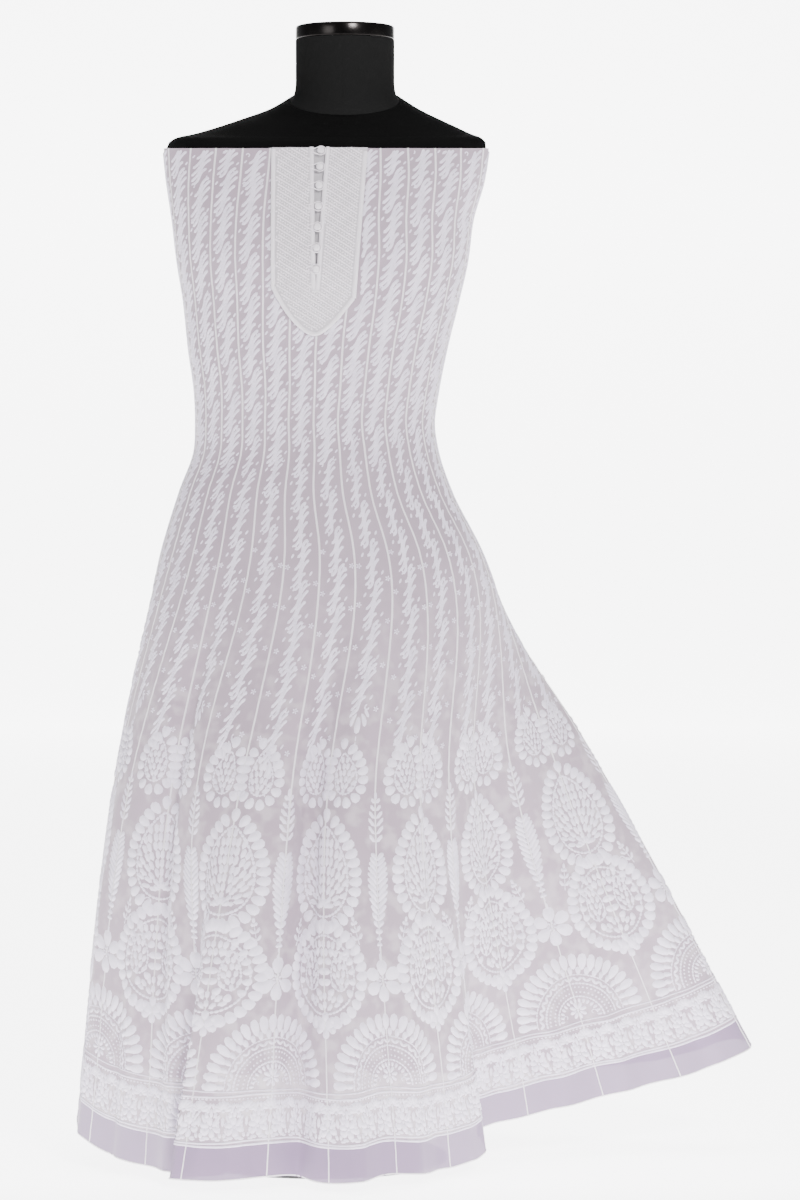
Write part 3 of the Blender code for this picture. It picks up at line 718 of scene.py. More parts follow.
@dataclass(frozen=True)
class MetalFinish:
    """Polished, brushed or painted metal with faint marks."""

    light: tuple
    dark: tuple
    roughness: float
    metallic: float
    marks: float = 35.0

    def build(self, name: str) -> bpy.types.Material:
        """Make the material."""
        board = Board(name)
        haze = board.noise(board.place(), self.marks, 4.0)
        board.bump(board.noise(board.place(), 700.0, 1.0), 0.00004, 0.3)
        return board.dress(
            Base_Color=board.blend(haze, self.dark, self.light),
            Roughness=(haze * 0.3 + (self.roughness - 0.15)).clamped(),
            Metallic=self.metallic,
        )


@dataclass(frozen=True)
class PaperFinish:
    """Plain studio paper for the floor and the wall."""

    tone: tuple = (0.92, 0.92, 0.92, 1.0)
    glow: float = 6.0

    def build(self, name: str) -> bpy.types.Material:
        """Make the material."""
        board = Board(name)
        place = board.place()
        grain = board.noise(place, 3.0, 2.0)
        near = tuple(part * 0.985 for part in self.tone[:3]) + (1.0,)
        colour = board.blend(grain, near, self.tone)
        across, deep = board.part(place, "X").absolute(), board.part(place, "Y")
        behind = ((5.0 - across) * 0.6).clamped() * ((deep + 1.3) * 0.9).clamped()
        glowing = board.blend(behind, (0.0, 0.0, 0.0, 1.0), self.tone)
        return board.dress(
            Base_Color=colour, Roughness=0.9, Emission_Color=glowing, Emission_Strength=self.glow
        )


class Pile:
    """Mesh gathered from many small parts."""

    def __init__(self) -> None:
        """Start empty."""
        self.points: list = []
        self.marks: list = []
        self.faces: dict = {3: [], 4: []}
        self.count = 0

    def add(self, points: np.ndarray, faces: list, marks: np.ndarray) -> None:
        """Add points, arrays of faces with three or four corners, and places on flat cloth."""
        for corners in faces:
            corners = np.asarray(corners)
            self.faces[corners.shape[1]].append(corners + self.count)
        self.points.append(points)
        self.marks.append(marks)
        self.count += len(points)

    def grid(self, points: np.ndarray, marks: np.ndarray, closed: bool = False) -> None:
        """Add a net of points in rows and columns.

        Args:
            points: array of rows, columns and coordinates.
            marks: places on flat cloth, in the same rows and columns.
            closed: joins the last column to the first.
        """
        rows, columns = points.shape[:2]
        index = np.arange(rows * columns).reshape(rows, columns)
        if closed:
            index = np.hstack([index, index[:, :1]])
        corners = (index[:-1, :-1], index[1:, :-1], index[1:, 1:], index[:-1, 1:])
        quads = np.stack([part.ravel() for part in corners], axis=1)
        self.add(points.reshape(-1, 3), [quads], marks.reshape(-1, 2))

    def build(self, name: str, material: bpy.types.Material, crisp: float = 0.0) -> bpy.types.Object:
        """Make the object.

        Args:
            name: name of the piece.
            material: finish of the whole piece.
            crisp: angle in degrees over which edges stay sharp, none at 0.

        Returns:
            The new object.
        """
        points = np.concatenate(self.points)
        marks = np.concatenate(self.marks)
        groups = [(size, np.concatenate(part)) for size, part in self.faces.items() if part]
        loops = np.concatenate([part.ravel() for _, part in groups]).astype(np.int32)
        sizes = np.concatenate([np.full(len(part), size) for size, part in groups])
        starts = np.concatenate([[0], np.cumsum(sizes)[:-1]]).astype(np.int32)
        mesh = bpy.data.meshes.new(name)
        mesh.vertices.add(len(points))
        mesh.vertices.foreach_set("co", points.astype(np.float32).ravel())
        mesh.loops.add(len(loops))
        mesh.loops.foreach_set("vertex_index", loops)
        mesh.polygons.add(len(starts))
        mesh.polygons.foreach_set("loop_start", starts)
        mesh.update(calc_edges=True)
        layer = mesh.uv_layers.new(name="cloth")
        layer.data.foreach_set("uv", marks[loops].astype(np.float32).ravel())
        mesh.validate()
        mesh.polygons.foreach_set("use_smooth", np.ones(len(mesh.polygons), bool))
        if crisp:
            mesh.set_sharp_from_angle(angle=math.radians(crisp))
        mesh.materials.append(material)
        piece = bpy.data.objects.new(name, mesh)
        bpy.context.scene.collection.objects.link(piece)
        corners = int((sizes - 2).sum())
        LOG.info("%s: %d points, %d triangles", name, len(points), corners)
        return piece


def settle(piece: bpy.types.Object, slot: str, *nodes: str) -> bpy.types.Object:
    """Let a piece ride on the part and stand for solids."""
    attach(piece, "root")
    if nodes:
        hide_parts(*nodes)
    return piece


class Cords:
    """Half-round cords laid on the net."""

    ROUND = np.linspace(0.0, math.pi, 5)

    def __init__(self, surface: NetSurface) -> None:
        """Start with no cords."""
        self.surface = surface
        self.pile = Pile()

    def lay(self, place, down, half_width, height, lift=0.0, flat_surface=None) -> None:
        """Lay one cord along a line on the cloth.

        Args:
            place: panels from the centre front seam, along the line.
            down: metres from the top edge, along the line.
            half_width: half the cord's width, a number or one for each point.
            height: how far the cord stands up.
            lift: height of its foot.
            flat_surface: drape without relief to lie on instead.
        """
        place, down = np.asarray(place, float), np.asarray(down, float)
        if flat_surface is None:
            middle = self.surface.lifted(place, down, lift)
            outward = self.surface.drape.outward(place, down)
        else:
            outward = flat_surface.outward(place, down)
            middle = flat_surface.points(place, down) + outward * lift
        along = unit(np.gradient(middle, axis=0))
        aside = unit(np.cross(outward, along))
        half = np.broadcast_to(half_width, place.shape)[:, None, None]
        flat = np.cos(self.ROUND)[None, :, None] * half
        rise = np.sin(self.ROUND)[None, :, None] * height
        points = middle[:, None] + flat * aside[:, None] + rise * outward[:, None]
        run = np.concatenate([[0.0], np.cumsum(np.linalg.norm(np.diff(middle, axis=0), axis=1))])
        marks = np.stack(np.broadcast_arrays(run[:, None], self.ROUND[None, :] * 0.001), axis=-1)
        self.pile.grid(points, marks)


@dataclass(frozen=True)
class NetSizes:
    """How finely the net panels are laid, and the sizes of their seams and hem."""

    columns: int = 14
    rows: int = 150
    seam_gap: float = 0.0003
    seam_half: float = 0.0013
    seam_rise: float = 0.0010
    hem_half: float = 0.0009
    slit_half: float = 0.0074
    slit_length: float = 0.171
    seam_top: float = 0.0012
    seam_tip: float = -0.0047
    placket_length: float = 0.2255
    strip: float = 0.038
    band: float = 0.091


class NetPanels:
    """The full-length net panels with their seams, edging cords and hem."""

    def __init__(self, surface: NetSurface, sizes: NetSizes) -> None:
        """Keep the surface and the sizes."""
        self.surface = surface
        self.sizes = sizes

    def edge(self, down: np.ndarray, side: int) -> np.ndarray:
        """Distance of a panel's edge from its seam line.

        Args:
            down: length down from the top edge.
            side: 1 for the slit's left edge, -1 for its right edge, 0 for a plain seam.
        """
        sizes = self.sizes
        half = np.full_like(down, sizes.seam_gap / 2)
        if not side:
            return half
        seam = sizes.seam_top + (sizes.seam_tip - sizes.seam_top) * down / sizes.placket_length
        shift = seam - self.surface.drape.points(0.0, down)[:, 0]
        fade = (sizes.placket_length - down) / (sizes.placket_length - sizes.slit_length)
        slit = np.maximum(sizes.slit_half * (1.0 - down / sizes.slit_length), half)
        return slit + side * shift * np.clip(fade, 0.0, 1.0)

    def panel(self, index: int, material: bpy.types.Material) -> None:
        """Build one panel."""
        drape, sizes = self.surface.drape, self.sizes
        down = np.linspace(0.0, drape.length, sizes.rows + 1)
        width = drape.width(np.full_like(down, index + 0.5), down)
        left = self.edge(down, int(index == 0)) / width
        right = self.edge(down, -int(index == PANELS - 1)) / width
        share = np.linspace(0.0, 1.0, sizes.columns + 1)
        place = index + left[:, None] + (1.0 - left - right)[:, None] * share
        downs = np.broadcast_to(down[:, None], place.shape)
        points = self.surface.lifted(place, downs, 0.0)
        marks = np.stack([(place - index - 0.5) * width[:, None], downs], axis=-1)
        pile = Pile()
        pile.grid(points, marks)
        piece = pile.build(f"net_panel_{index + 1:02d}", material)
        settle(piece, "net", f"kali_{index + 1:02d}")

    def seams(self, material: bpy.types.Material) -> None:
        """Narrow raised seam along every join, ending at the hem."""
        cords = Cords(self.surface)
        sizes, length = self.sizes, self.surface.length
        for index in range(PANELS):
            start = sizes.placket_length if index == 0 else 0.0
            down = np.linspace(start, length, 190)
            sway = 0.25 * MM * np.sin(down * 43.0 + index * 1.9)
            place = index + sway / self.surface.drape.width(float(index), down)
            narrow = sizes.seam_half * (1.0 - 0.35 * ease((down / length - 0.45) / 0.5))
            cords.lay(place, down, narrow, sizes.seam_rise, -0.0002)
        settle(cords.pile.build("panel_seams", material), "net")

    def edgings(self, material: bpy.types.Material) -> None:
        """Corded lines over the border."""
        cords = Cords(self.surface)
        sizes, length = self.sizes, self.surface.length
        place = np.linspace(0.0, PANELS, PANELS * 26 + 1)
        lines = (
            (sizes.strip, 1.3),
            (sizes.strip + 0.0036, 1.1),
            (sizes.band, 1.2),
            (sizes.band + 0.0050, 0.9),
        )
        for over, half in lines:
            turn = place * (2 * math.pi / PANELS)
            sway = 0.8 * MM * np.sin(turn * 10 + over * 400) + 0.4 * MM * np.sin(turn * 25)
            cords.lay(place, length - over + sway, half * MM, 0.0010, -0.0002)
        settle(cords.pile.build("border_cords", material), "thread")

    def hem(self, material: bpy.types.Material) -> None:
        """Narrow rolled hem."""
        cords = Cords(self.surface)
        place = np.linspace(0.0, PANELS, PANELS * 26 + 1)
        edge = self.surface.length - self.sizes.hem_half
        cords.lay(place, np.full_like(place, edge), self.sizes.hem_half, 0.0006, -0.0002)
        settle(cords.pile.build("rolled_hem", material), "net")


class Motif:
    """Stitches of one motif on flat cloth: x across and y down, in millimetres."""

    def __init__(self) -> None:
        """Start empty."""
        self.rows: list = []

    def stitch(self, x, y, turn, length, width, shape=Shape.CHAIN, height=1.4, bend=0.0) -> None:
        """Add one stitch.

        Args:
            x: middle across.
            y: middle down.
            turn: direction of its tip, from straight down towards the right, in radians.
            length: length along its direction.
            width: width.
            shape: form of the stitch.
            height: how far it stands up.
            bend: sideways bow as a share of its length.
        """
        self.rows.append((shape.value, x, y, turn, length, width, height, bend))

    def line(
        self, path: np.ndarray, length: float, width: float, height: float = 1.2, lap: float = 0.78
    ) -> None:
        """Row of chain stitches along a path, each as far on as a share of its length."""
        run = np.concatenate([[0.0], np.cumsum(np.linalg.norm(np.diff(path, axis=0), axis=1))])
        count = max(1, round(run[-1] / (length * lap)))
        ends = np.linspace(0.0, run[-1], count + 1)
        points = np.stack([np.interp(ends, run, path[:, axis]) for axis in (0, 1)], axis=1)
        for start, end in zip(points[:-1], points[1:]):
            middle, along = (start + end) / 2, end - start
            turn = math.atan2(along[0], along[1])
            self.stitch(*middle, turn, length, width, height=height)

    def fringe(self, path, count, length, width, shape=Shape.PETAL, lean=0.0, height=1.7) -> None:
        """Petals that stand outwards along a closed path."""
        points = equal_steps(path, count)
        centre = path.mean(axis=0)
        for index, point in enumerate(points):
            along = points[(index + 1) % count] - points[index - 1]
            outward = np.array([along[1], -along[0]])
            outward = outward if outward @ (point - centre) > 0 else -outward
            turn = math.atan2(outward[0], outward[1]) + lean
            tip = point + np.array([math.sin(turn), math.cos(turn)]) * length * 0.36
            self.stitch(*tip, turn, length, width, shape, height)

    def rays(
        self, x, y, radius, count, length, width, start=0.0, sweep=2 * math.pi,
        shape=Shape.PETAL, height=1.6,
    ) -> None:
        """Petals round a point, their middles at a radius, from a start direction."""
        open_end = 0.5 if sweep < 2 * math.pi else 0.0
        for index in range(count):
            turn = start + sweep * (index + open_end) / count
            spot = (x + radius * math.sin(turn), y + radius * math.cos(turn))
            self.stitch(*spot, turn, length, width, shape, height)

    def curl(self, x, y, radius, start, sweep, length=3.4, width=1.9) -> None:
        """Chain along a curl that tightens."""
        turns = start + sweep * np.linspace(0.0, 1.0, 24)
        size = radius * np.linspace(1.0, 0.35, 24)
        self.line(np.stack([x + size * np.sin(turns), y + size * np.cos(turns)], 1), length, width)

    def sprig(self, x, y, turn, length, pairs, leaf, width, spread=0.75, shape=Shape.CHAIN) -> None:
        """Stem with pairs of leaves, longest near the middle, ending in a bud."""
        along = np.array([math.sin(turn), math.cos(turn)])
        start = np.array([x, y])
        self.line(np.stack([start, start + along * length]), 6.0, 1.6)
        for index in range(pairs):
            share = (index + 0.6) / pairs
            size = leaf * (0.55 + 0.45 * math.sin(math.pi * min(share + 0.15, 1.0)))
            for side in (-1, 1):
                lean = turn + side * spread
                spot = start + along * length * share
                spot = spot + np.array([math.sin(lean), math.cos(lean)]) * size * 0.5
                self.stitch(*spot, lean, size, width, shape, bend=0.06 * side)
        self.stitch(*(start + along * (length + leaf * 0.3)), turn, leaf * 0.8, width, shape)

    def include(self, other: "Motif", x=0.0, y=0.0, turn=0.0, scale=1.0, mirror=False) -> None:
        """Add another motif, moved, turned, scaled or mirrored."""
        side = -1.0 if mirror else 1.0
        for shape, px, py, lean, length, width, height, bend in other.rows:
            px, lean, bend = px * side, lean * side, bend * side
            spot_x = x + scale * (px * math.cos(turn) + py * math.sin(turn))
            spot_y = y + scale * (py * math.cos(turn) - px * math.sin(turn))
            row = (spot_x, spot_y, lean + turn, length * scale, width * scale, height, bend)
            self.rows.append((shape, *row))

    def fan(self, path, x, y, radii, length, width, pitch, spread=1.9, margin=3.0) -> None:
        """Fill a closed path with leaves that fan up from a point."""
        for number, radius in enumerate(radii):
            count = max(3, round(2 * spread * radius / pitch))
            for index in range(count):
                turn = math.pi + spread * (2 * (index + 0.5) / count - 1)
                spot = (x + radius * math.sin(turn), y + radius * math.cos(turn))
                if inside(path, *spot, margin):
                    self.stitch(*spot, turn, length, width, bend=0.05 * (-1) ** (index + number))


def teardrop(width: float, height: float, pinch: float, hook: float) -> np.ndarray:
    """Closed outline with its tip at the top, bent sideways by the hook."""
    turns = np.linspace(0.0, 2 * math.pi, 120, endpoint=False)
    x = width / 2 * np.sin(turns) * np.abs(np.sin(turns / 2)) ** pinch * 1.12
    y = -height / 2 * np.cos(turns)
    return np.stack([x + hook * ((height / 2 - y) / height) ** 3, y], axis=1)


def inside(path: np.ndarray, x: float, y: float, margin: float) -> bool:
    """Whether a point is within a closed path and at least a margin from it."""
    following = np.roll(path, -1, axis=0)
    crosses = (path[:, 1] > y) != (following[:, 1] > y)
    rise = np.where(crosses, following[:, 1] - path[:, 1], 1.0)
    at = path[:, 0] + (y - path[:, 1]) * (following[:, 0] - path[:, 0]) / rise
    clear = np.hypot(path[:, 0] - x, path[:, 1] - y).min() >= margin
    return bool((crosses & (x < at)).sum() % 2) and clear


class Motifs:
    """The repeats of the embroidery."""

    WIDE_ROPE = ((-18.0, 27.0), (-9.0, 38.0), (0.0, 41.0), (9.0, 37.0), (18.0, 25.0))
    NARROW_ROPE = ((-18.5, 22.0), (-9.3, 33.0), (0.0, 38.0), (9.3, 32.0), (18.5, 20.0))

    @staticmethod
    def rope_leaf(slant: float, rows: tuple, ridge: float, neck: float) -> Motif:
        """One turn of a rope of slanted ridges that swells and narrows, with curls at its neck.

        Args:
            slant: direction of the ridges in degrees from straight down.
            rows: middle down and length of each ridge (mm).
            ridge: width of a ridge (mm).
            neck: distance of the curls from the middle (mm).
        """
        motif = Motif()
        turn = math.radians(slant)
        along = np.array([math.sin(turn), math.cos(turn)])
        aside = np.array([math.cos(turn), -math.sin(turn)])
        for y, length in rows:
            run = np.linspace(-0.5, 0.5, 11)
            bow = 1.6 * np.sin(run * 2 * math.pi)
            path = np.array([-0.07 * y, y]) + along * (run * length)[:, None] + aside * bow[:, None]
            motif.line(path, ridge * 1.9, ridge, 1.8, 0.5)
        for side in (-1, 1):
            motif.curl(side * neck, side * 20.5, 3.6, 0.4 + 3.1 * (side > 0), 4.4, 4.0, 2.2)
            motif.stitch(side * (neck + 1.5), side * 10.0, turn, 7.0, 2.8)
        return motif

    @staticmethod
    def floret() -> Motif:
        """Small five-dot flower between the leaves."""
        motif = Motif()
        motif.rays(0, 0, 2.3, 5, 3.4, 2.2, 0.3, shape=Shape.CHAIN)
        motif.stitch(0, 0, 0, 2.0, 2.0, Shape.BEAD, 1.2)
        return motif

    @staticmethod
    def bud() -> Motif:
        """Pointed bud at the foot of a column."""
        motif = Motif()
        motif.stitch(0, 4, 0, 18, 6.5, Shape.PETAL)
        for side in (-1, 1):
            motif.stitch(side * 4.6, -1.0, side * 0.35, 15, 4.6, Shape.PETAL, bend=0.08 * side)
            motif.stitch(side * 7.4, -7.5, side * 0.55, 11, 3.6)
        motif.line(np.array([[0.0, 14.0], [0.0, 30.0]]), 6.0, 1.5)
        return motif

    @staticmethod
    def medallion() -> Motif:
        """Half sunburst that stands on the band."""
        motif = Motif()
        motif.rays(0, 0, 69.5, 21, 22.0, 10.4, math.pi / 2, math.pi)
        motif.rays(0, 0, 58.5, 20, 11.0, 6.4, math.pi / 2, math.pi)
        for radius, width in ((54.0, 2.0), (43.5, 2.8), (28.0, 2.8)):
            turns = np.linspace(math.pi / 2, 3 * math.pi / 2, 60)
            motif.line(np.stack([radius * np.sin(turns), radius * np.cos(turns)], 1), 5.0, width)
        for index in range(15):
            turn = math.pi / 2 + math.pi * (index + 0.5) / 15
            for side in (-1, 1):
                lean = turn + side * 0.9
                spot = (48.7 * math.sin(turn + side * 0.045), 48.7 * math.cos(turn + side * 0.045))
                motif.stitch(*spot, lean, 8.6, 3.6)
        motif.rays(0, 0, 39.0, 27, 3.0, 3.0, math.pi / 2, math.pi, Shape.BEAD)
        motif.rays(0, 0, 33.0, 23, 3.0, 3.0, math.pi / 2, math.pi, Shape.BEAD)
        motif.rays(0, -11.0, 6.4, 8, 9.4, 4.6, 0.2)
        motif.stitch(0, -11, 0, 4, 4, Shape.BEAD, 1.6)
        motif.rays(0, 0, 23.0, 15, 6.4, 3.6, math.pi / 2, math.pi)
        for side in (-1, 1):
            motif.curl(side * 17.0, -5.5, 4.4, 1.2 * side, 4.6 * side)
        return motif

    @staticmethod
    def flower() -> Motif:
        """Flower of six round petals on its stem."""
        motif = Motif()
        motif.rays(0, 0, 14.0, 6, 20.0, 15.0, 0.0)
        motif.rays(0, 0, 4.2, 7, 5.0, 3.0, 0.2, shape=Shape.CHAIN)
        motif.stitch(0, 0, 0, 4.4, 4.4, Shape.BEAD, 1.5)
        return motif

    @staticmethod
    def fern() -> Motif:
        """Feathered leaf that hangs point down."""
        motif = Motif()
        motif.line(np.array([[0.0, -44.0], [0.0, 44.0]]), 6.0, 1.8)
        for index in range(15):
            share = (index + 0.5) / 15
            y = -42.0 + 84.0 * share
            size = 4.0 + 13.5 * math.sin(math.pi * min(share * 1.05 + 0.10, 1.0)) ** 0.8
            for side in (-1, 1):
                turn = math.pi - side * 0.72
                spot = (side * size * 0.33, y - size * 0.38)
                motif.stitch(*spot, turn, size, 5.3, Shape.PETAL, 1.7, 0.05 * side)
        motif.stitch(0, 49, 0, 9, 3.6)
        return motif

    @staticmethod
    def lotus() -> Motif:
        """Pointed cluster with a leafy heart and a scalloped rim."""
        motif = Motif()
        path = teardrop(66.0, 98.0, 0.55, 0.0)
        motif.fringe(path, 29, 15.5, 10.6, height=1.8)
        motif.line(np.vstack([path, path[:1]]) * 0.90, 5.5, 3.2, 1.4)
        motif.fan(path * 0.90, 0.0, 34.0, (8, 17, 26, 35, 44, 53, 62, 71), 11.8, 5.7, 5.9, 1.9, 1.0)
        motif.rays(0, 36, 6.0, 5, 9.0, 6.0, math.radians(110), math.radians(140))
        for side in (-1, 1):
            motif.curl(side * 14, 47, 5.2, side * 2.0, side * 4.4)
        motif.stitch(0, -54, math.pi, 14, 7.0, Shape.PETAL)
        return motif

    @classmethod
    def comma(cls, width: float, height: float, petals: int) -> Motif:
        """Curved drop with a rim of round petals and a sprig within."""
        motif = Motif()
        path = teardrop(width * 0.74, height * 0.82, 0.6, width * 0.22)
        motif.fringe(path, petals, width * 0.30, width * 0.235, height=1.6)
        motif.line(np.vstack([path, path[:1]]) * 0.82, 4.6, 2.6, 1.3)
        motif.fan(path * 0.84, 0.0, height * 0.36, (4, 11, 18, 25, 32, 39), 9.0, 5.0, 5.3, 1.9, 0.6)
        return motif

    @classmethod
    def posy(cls) -> Motif:
        """Rounded cluster that holds two curved drops over a small flower."""
        motif = Motif()
        path = teardrop(76.0, 88.0, 0.22, 0.0)
        motif.fringe(path, 31, 14.5, 11.4, height=1.8)
        motif.line(np.vstack([path, path[:1]]) * 0.89, 5.5, 3.0, 1.4)
        half = cls.comma(33.0, 58.0, 12)
        motif.include(half, 16.5, -3.0, 0.2)
        motif.include(half, -16.5, -3.0, -0.2, mirror=True)
        motif.fan(path * 0.88, 0.0, 38.0, (8, 17, 60, 68, 76), 9.8, 5.6, 6.0, 1.9, 1.0)
        motif.rays(0, 50, 8.0, 6, 12.0, 8.4)
        motif.stitch(0, 50, 0, 4, 4, Shape.BEAD, 1.4)
        for side in (-1, 1):
            motif.curl(side * 17, 49, 5.0, side * 1.6, side * 4.4)
        return motif

    @classmethod
    def pair(cls) -> Motif:
        """Two mirrored curved drops on either side of a seam."""
        motif = Motif()
        half = cls.comma(46.0, 66.0, 16)
        motif.include(half, -24.0, 0.0, 0.12)
        motif.include(half, 24.0, 0.0, -0.12, mirror=True)
        motif.rays(0, 26, 6.5, 5, 10.0, 7.0, math.radians(90), math.radians(180))
        motif.sprig(0, 20, math.pi, 34, 6, 9.0, 3.0)
        return motif

    @staticmethod
    def band(width: float) -> Motif:
        """Two panels' width of the zigzag border, from its upper cord down."""
        motif = Motif()
        count = max(4, round(width / 26.0))
        step = width / count
        for index in range(count):
            x = (index + 0.5) * step - width / 2
            for side in (-1, 1):
                path = np.array([[x + side * step * 0.45, 7.0], [x + side * 2.0, 44.0]])
                motif.line(path, 7.5, 4.4, 1.6)
                motif.stitch(x + side * step * 0.27, 9.5, side * 1.1, 8.0, 4.0)
                motif.stitch(x + side * step * 0.20, 23.0, side * 0.35, 9.5, 4.0)
                motif.stitch(x + side * step * 0.33, 44.5, side * 1.35, 9.0, 4.2)
                motif.stitch(x + side * step * 0.40, 12.0, math.pi - side * 0.3, 7.0, 3.4)
            motif.rays(x, 15.0, 6.4, 7, 10.6, 6.2, math.radians(92), math.radians(176))
            motif.stitch(x, 15.5, 0, 4.6, 4.6, Shape.BEAD, 1.8)
            motif.stitch(x, 26.5, 0, 13.0, 4.8)
            low = x + step / 2
            motif.rays(low, 33.0, 6.8, 6, 11.0, 7.4, 0.2)
            motif.stitch(low, 33.0, 0, 4.4, 4.4, Shape.BEAD, 1.9)
            motif.stitch(low, 17.5, 0, 11.0, 4.4, Shape.PETAL)
            for side in (-1, 1):
                motif.stitch(low + side * 4.6, 20.0, math.pi - side * 0.6, 8.5, 3.8)
                motif.stitch(low + side * 8.0, 46.0, side * 1.5, 8.5, 3.8)
        for index in range(int(width / 4.6)):
            motif.stitch((index + 0.5) * 4.6 - width / 2, 2.8, math.pi / 2, 4.0, 2.6, Shape.BEAD, 0.9)
        return motif


@dataclass(frozen=True)
class Spot:
    """Where one motif goes: its seam or panel middle, and its length down the cloth."""

    place: float
    down: float
    turn: float = 0.0
    scale: float = 1.0
    mirror: bool = False


class Stitching:
    """Raised stitches laid on the cloth from motifs."""

    CHAIN = (
        np.array(
            [
                (-0.50, 0.00, 0.0),
                (-0.18, -0.50, 0.0),
                (0.25, -0.48, 0.0),
                (0.50, 0.00, 0.0),
                (0.25, 0.48, 0.0),
                (-0.18, 0.50, 0.0),
                (-0.22, 0.00, 1.0),
                (0.24, 0.00, 1.0),
            ]
        ),
        np.array(
            [(0, 1, 6), (1, 2, 7), (1, 7, 6), (2, 3, 7), (3, 4, 7), (4, 5, 6), (4, 6, 7), (5, 0, 6)]
        ),
    )

    def __init__(self, surface: NetSurface) -> None:
        """Make the stitch shapes."""
        self.surface = surface
        self.rows: list = []
        self.shapes = {Shape.CHAIN.value: self.CHAIN}
        self.shapes[Shape.PETAL.value] = self.rounded(10, 0.26, 0.55)
        self.shapes[Shape.BEAD.value] = self.rounded(6, 0.0, None)

    @staticmethod
    def rounded(count: int, taper: float, inner) -> tuple:
        """Domed stitch on an egg-shaped foot.

        Args:
            count: points round the foot.
            taper: how much fuller the tip is than the root.
            inner: size of a raised ring within, none if the dome is plain.

        Returns:
            Points as shares of length, width and height, and triangles.
        """
        turns = 2 * math.pi * np.arange(count) / count
        outline = np.stack([-np.cos(turns) / 2, np.sin(turns) / 2 * (1 - taper * np.cos(turns))], 1)
        rings = [np.column_stack([outline, np.zeros(count)])]
        if inner is not None:
            rings.append(np.column_stack([outline * inner, np.full(count, 0.86)]))
        points = np.vstack([*rings, [(0.04, 0.0, 1.0)]])
        triangles = []
        for index in range(count):
            after = (index + 1) % count
            if inner is not None:
                triangles.append((index, count + after, after))
                triangles.append((index, count + index, count + after))
            last = (len(rings) - 1) * count
            triangles.append((last + index, len(points) - 1, last + after))
        return points, np.array(triangles)[:, ::-1]

    def lay(self, motif: Motif, spots: list) -> None:
        """Lay a motif at many spots."""
        table = np.array(motif.rows, float)
        for spot in spots:
            side = -1.0 if spot.mirror else 1.0
            x, y = table[:, 1] * side, table[:, 2]
            turn = table[:, 3] * side + spot.turn
            across = x * math.cos(spot.turn) + y * math.sin(spot.turn)
            along = y * math.cos(spot.turn) - x * math.sin(spot.turn)
            scale = spot.scale * MM
            laid = (
                np.full(len(table), spot.place),
                across * scale,
                spot.down + along * scale,
                turn,
                table[:, 4] * scale,
                table[:, 5] * scale,
                table[:, 6] * MM,
                table[:, 7] * side,
            )
            self.rows.append(np.column_stack([table[:, 0], *laid]))

    def cloth_map(self, home, across, down) -> tuple:
        """Places among the panels of points at a distance across from a home place."""
        return home + across / self.surface.drape.width(home, down), down

    def lifted(self, place, down, height) -> np.ndarray:
        """Points over the cloth that the stitches lie on."""
        return self.surface.lifted(place, down, height - 0.00025)

    def build(self, name: str, material: bpy.types.Material, keep=None) -> bpy.types.Object:
        """Make one joined piece of stitches.

        Args:
            name: name of the piece.
            material: thread finish.
            keep: test of the rows' places and lengths down, all being kept without one.

        Returns:
            The new object.
        """
        rows = np.concatenate(self.rows)
        if keep is not None:
            place, down = self.cloth_map(rows[:, 1], rows[:, 2], rows[:, 3])
            rows = rows[keep(place, down)]
        pile = Pile()
        for number, (points, triangles) in self.shapes.items():
            chosen = rows[rows[:, 0] == number]
            if not len(chosen):
                continue
            home, across, down, turn, length, width, height, bend = (
                column[:, None] for column in chosen[:, 1:].T
            )
            along = points[:, 0] * length
            aside = points[:, 1] * width + bend * length * (1 - 4 * points[:, 0] ** 2)
            flat_x = across + along * np.sin(turn) + aside * np.cos(turn)
            flat_y = down + along * np.cos(turn) - aside * np.sin(turn)
            place, low = self.cloth_map(home, flat_x, flat_y)
            spots = self.lifted(place, low, points[:, 2] * height)
            marks = np.stack([np.broadcast_to(along, spots.shape[:2]), aside + 0 * along], axis=-1)
            count = np.arange(len(chosen))[:, None, None] * len(points)
            pile.add(spots.reshape(-1, 3), [(triangles + count).reshape(-1, 3)], marks.reshape(-1, 2))
        return settle(pile.build(name, material), "thread")


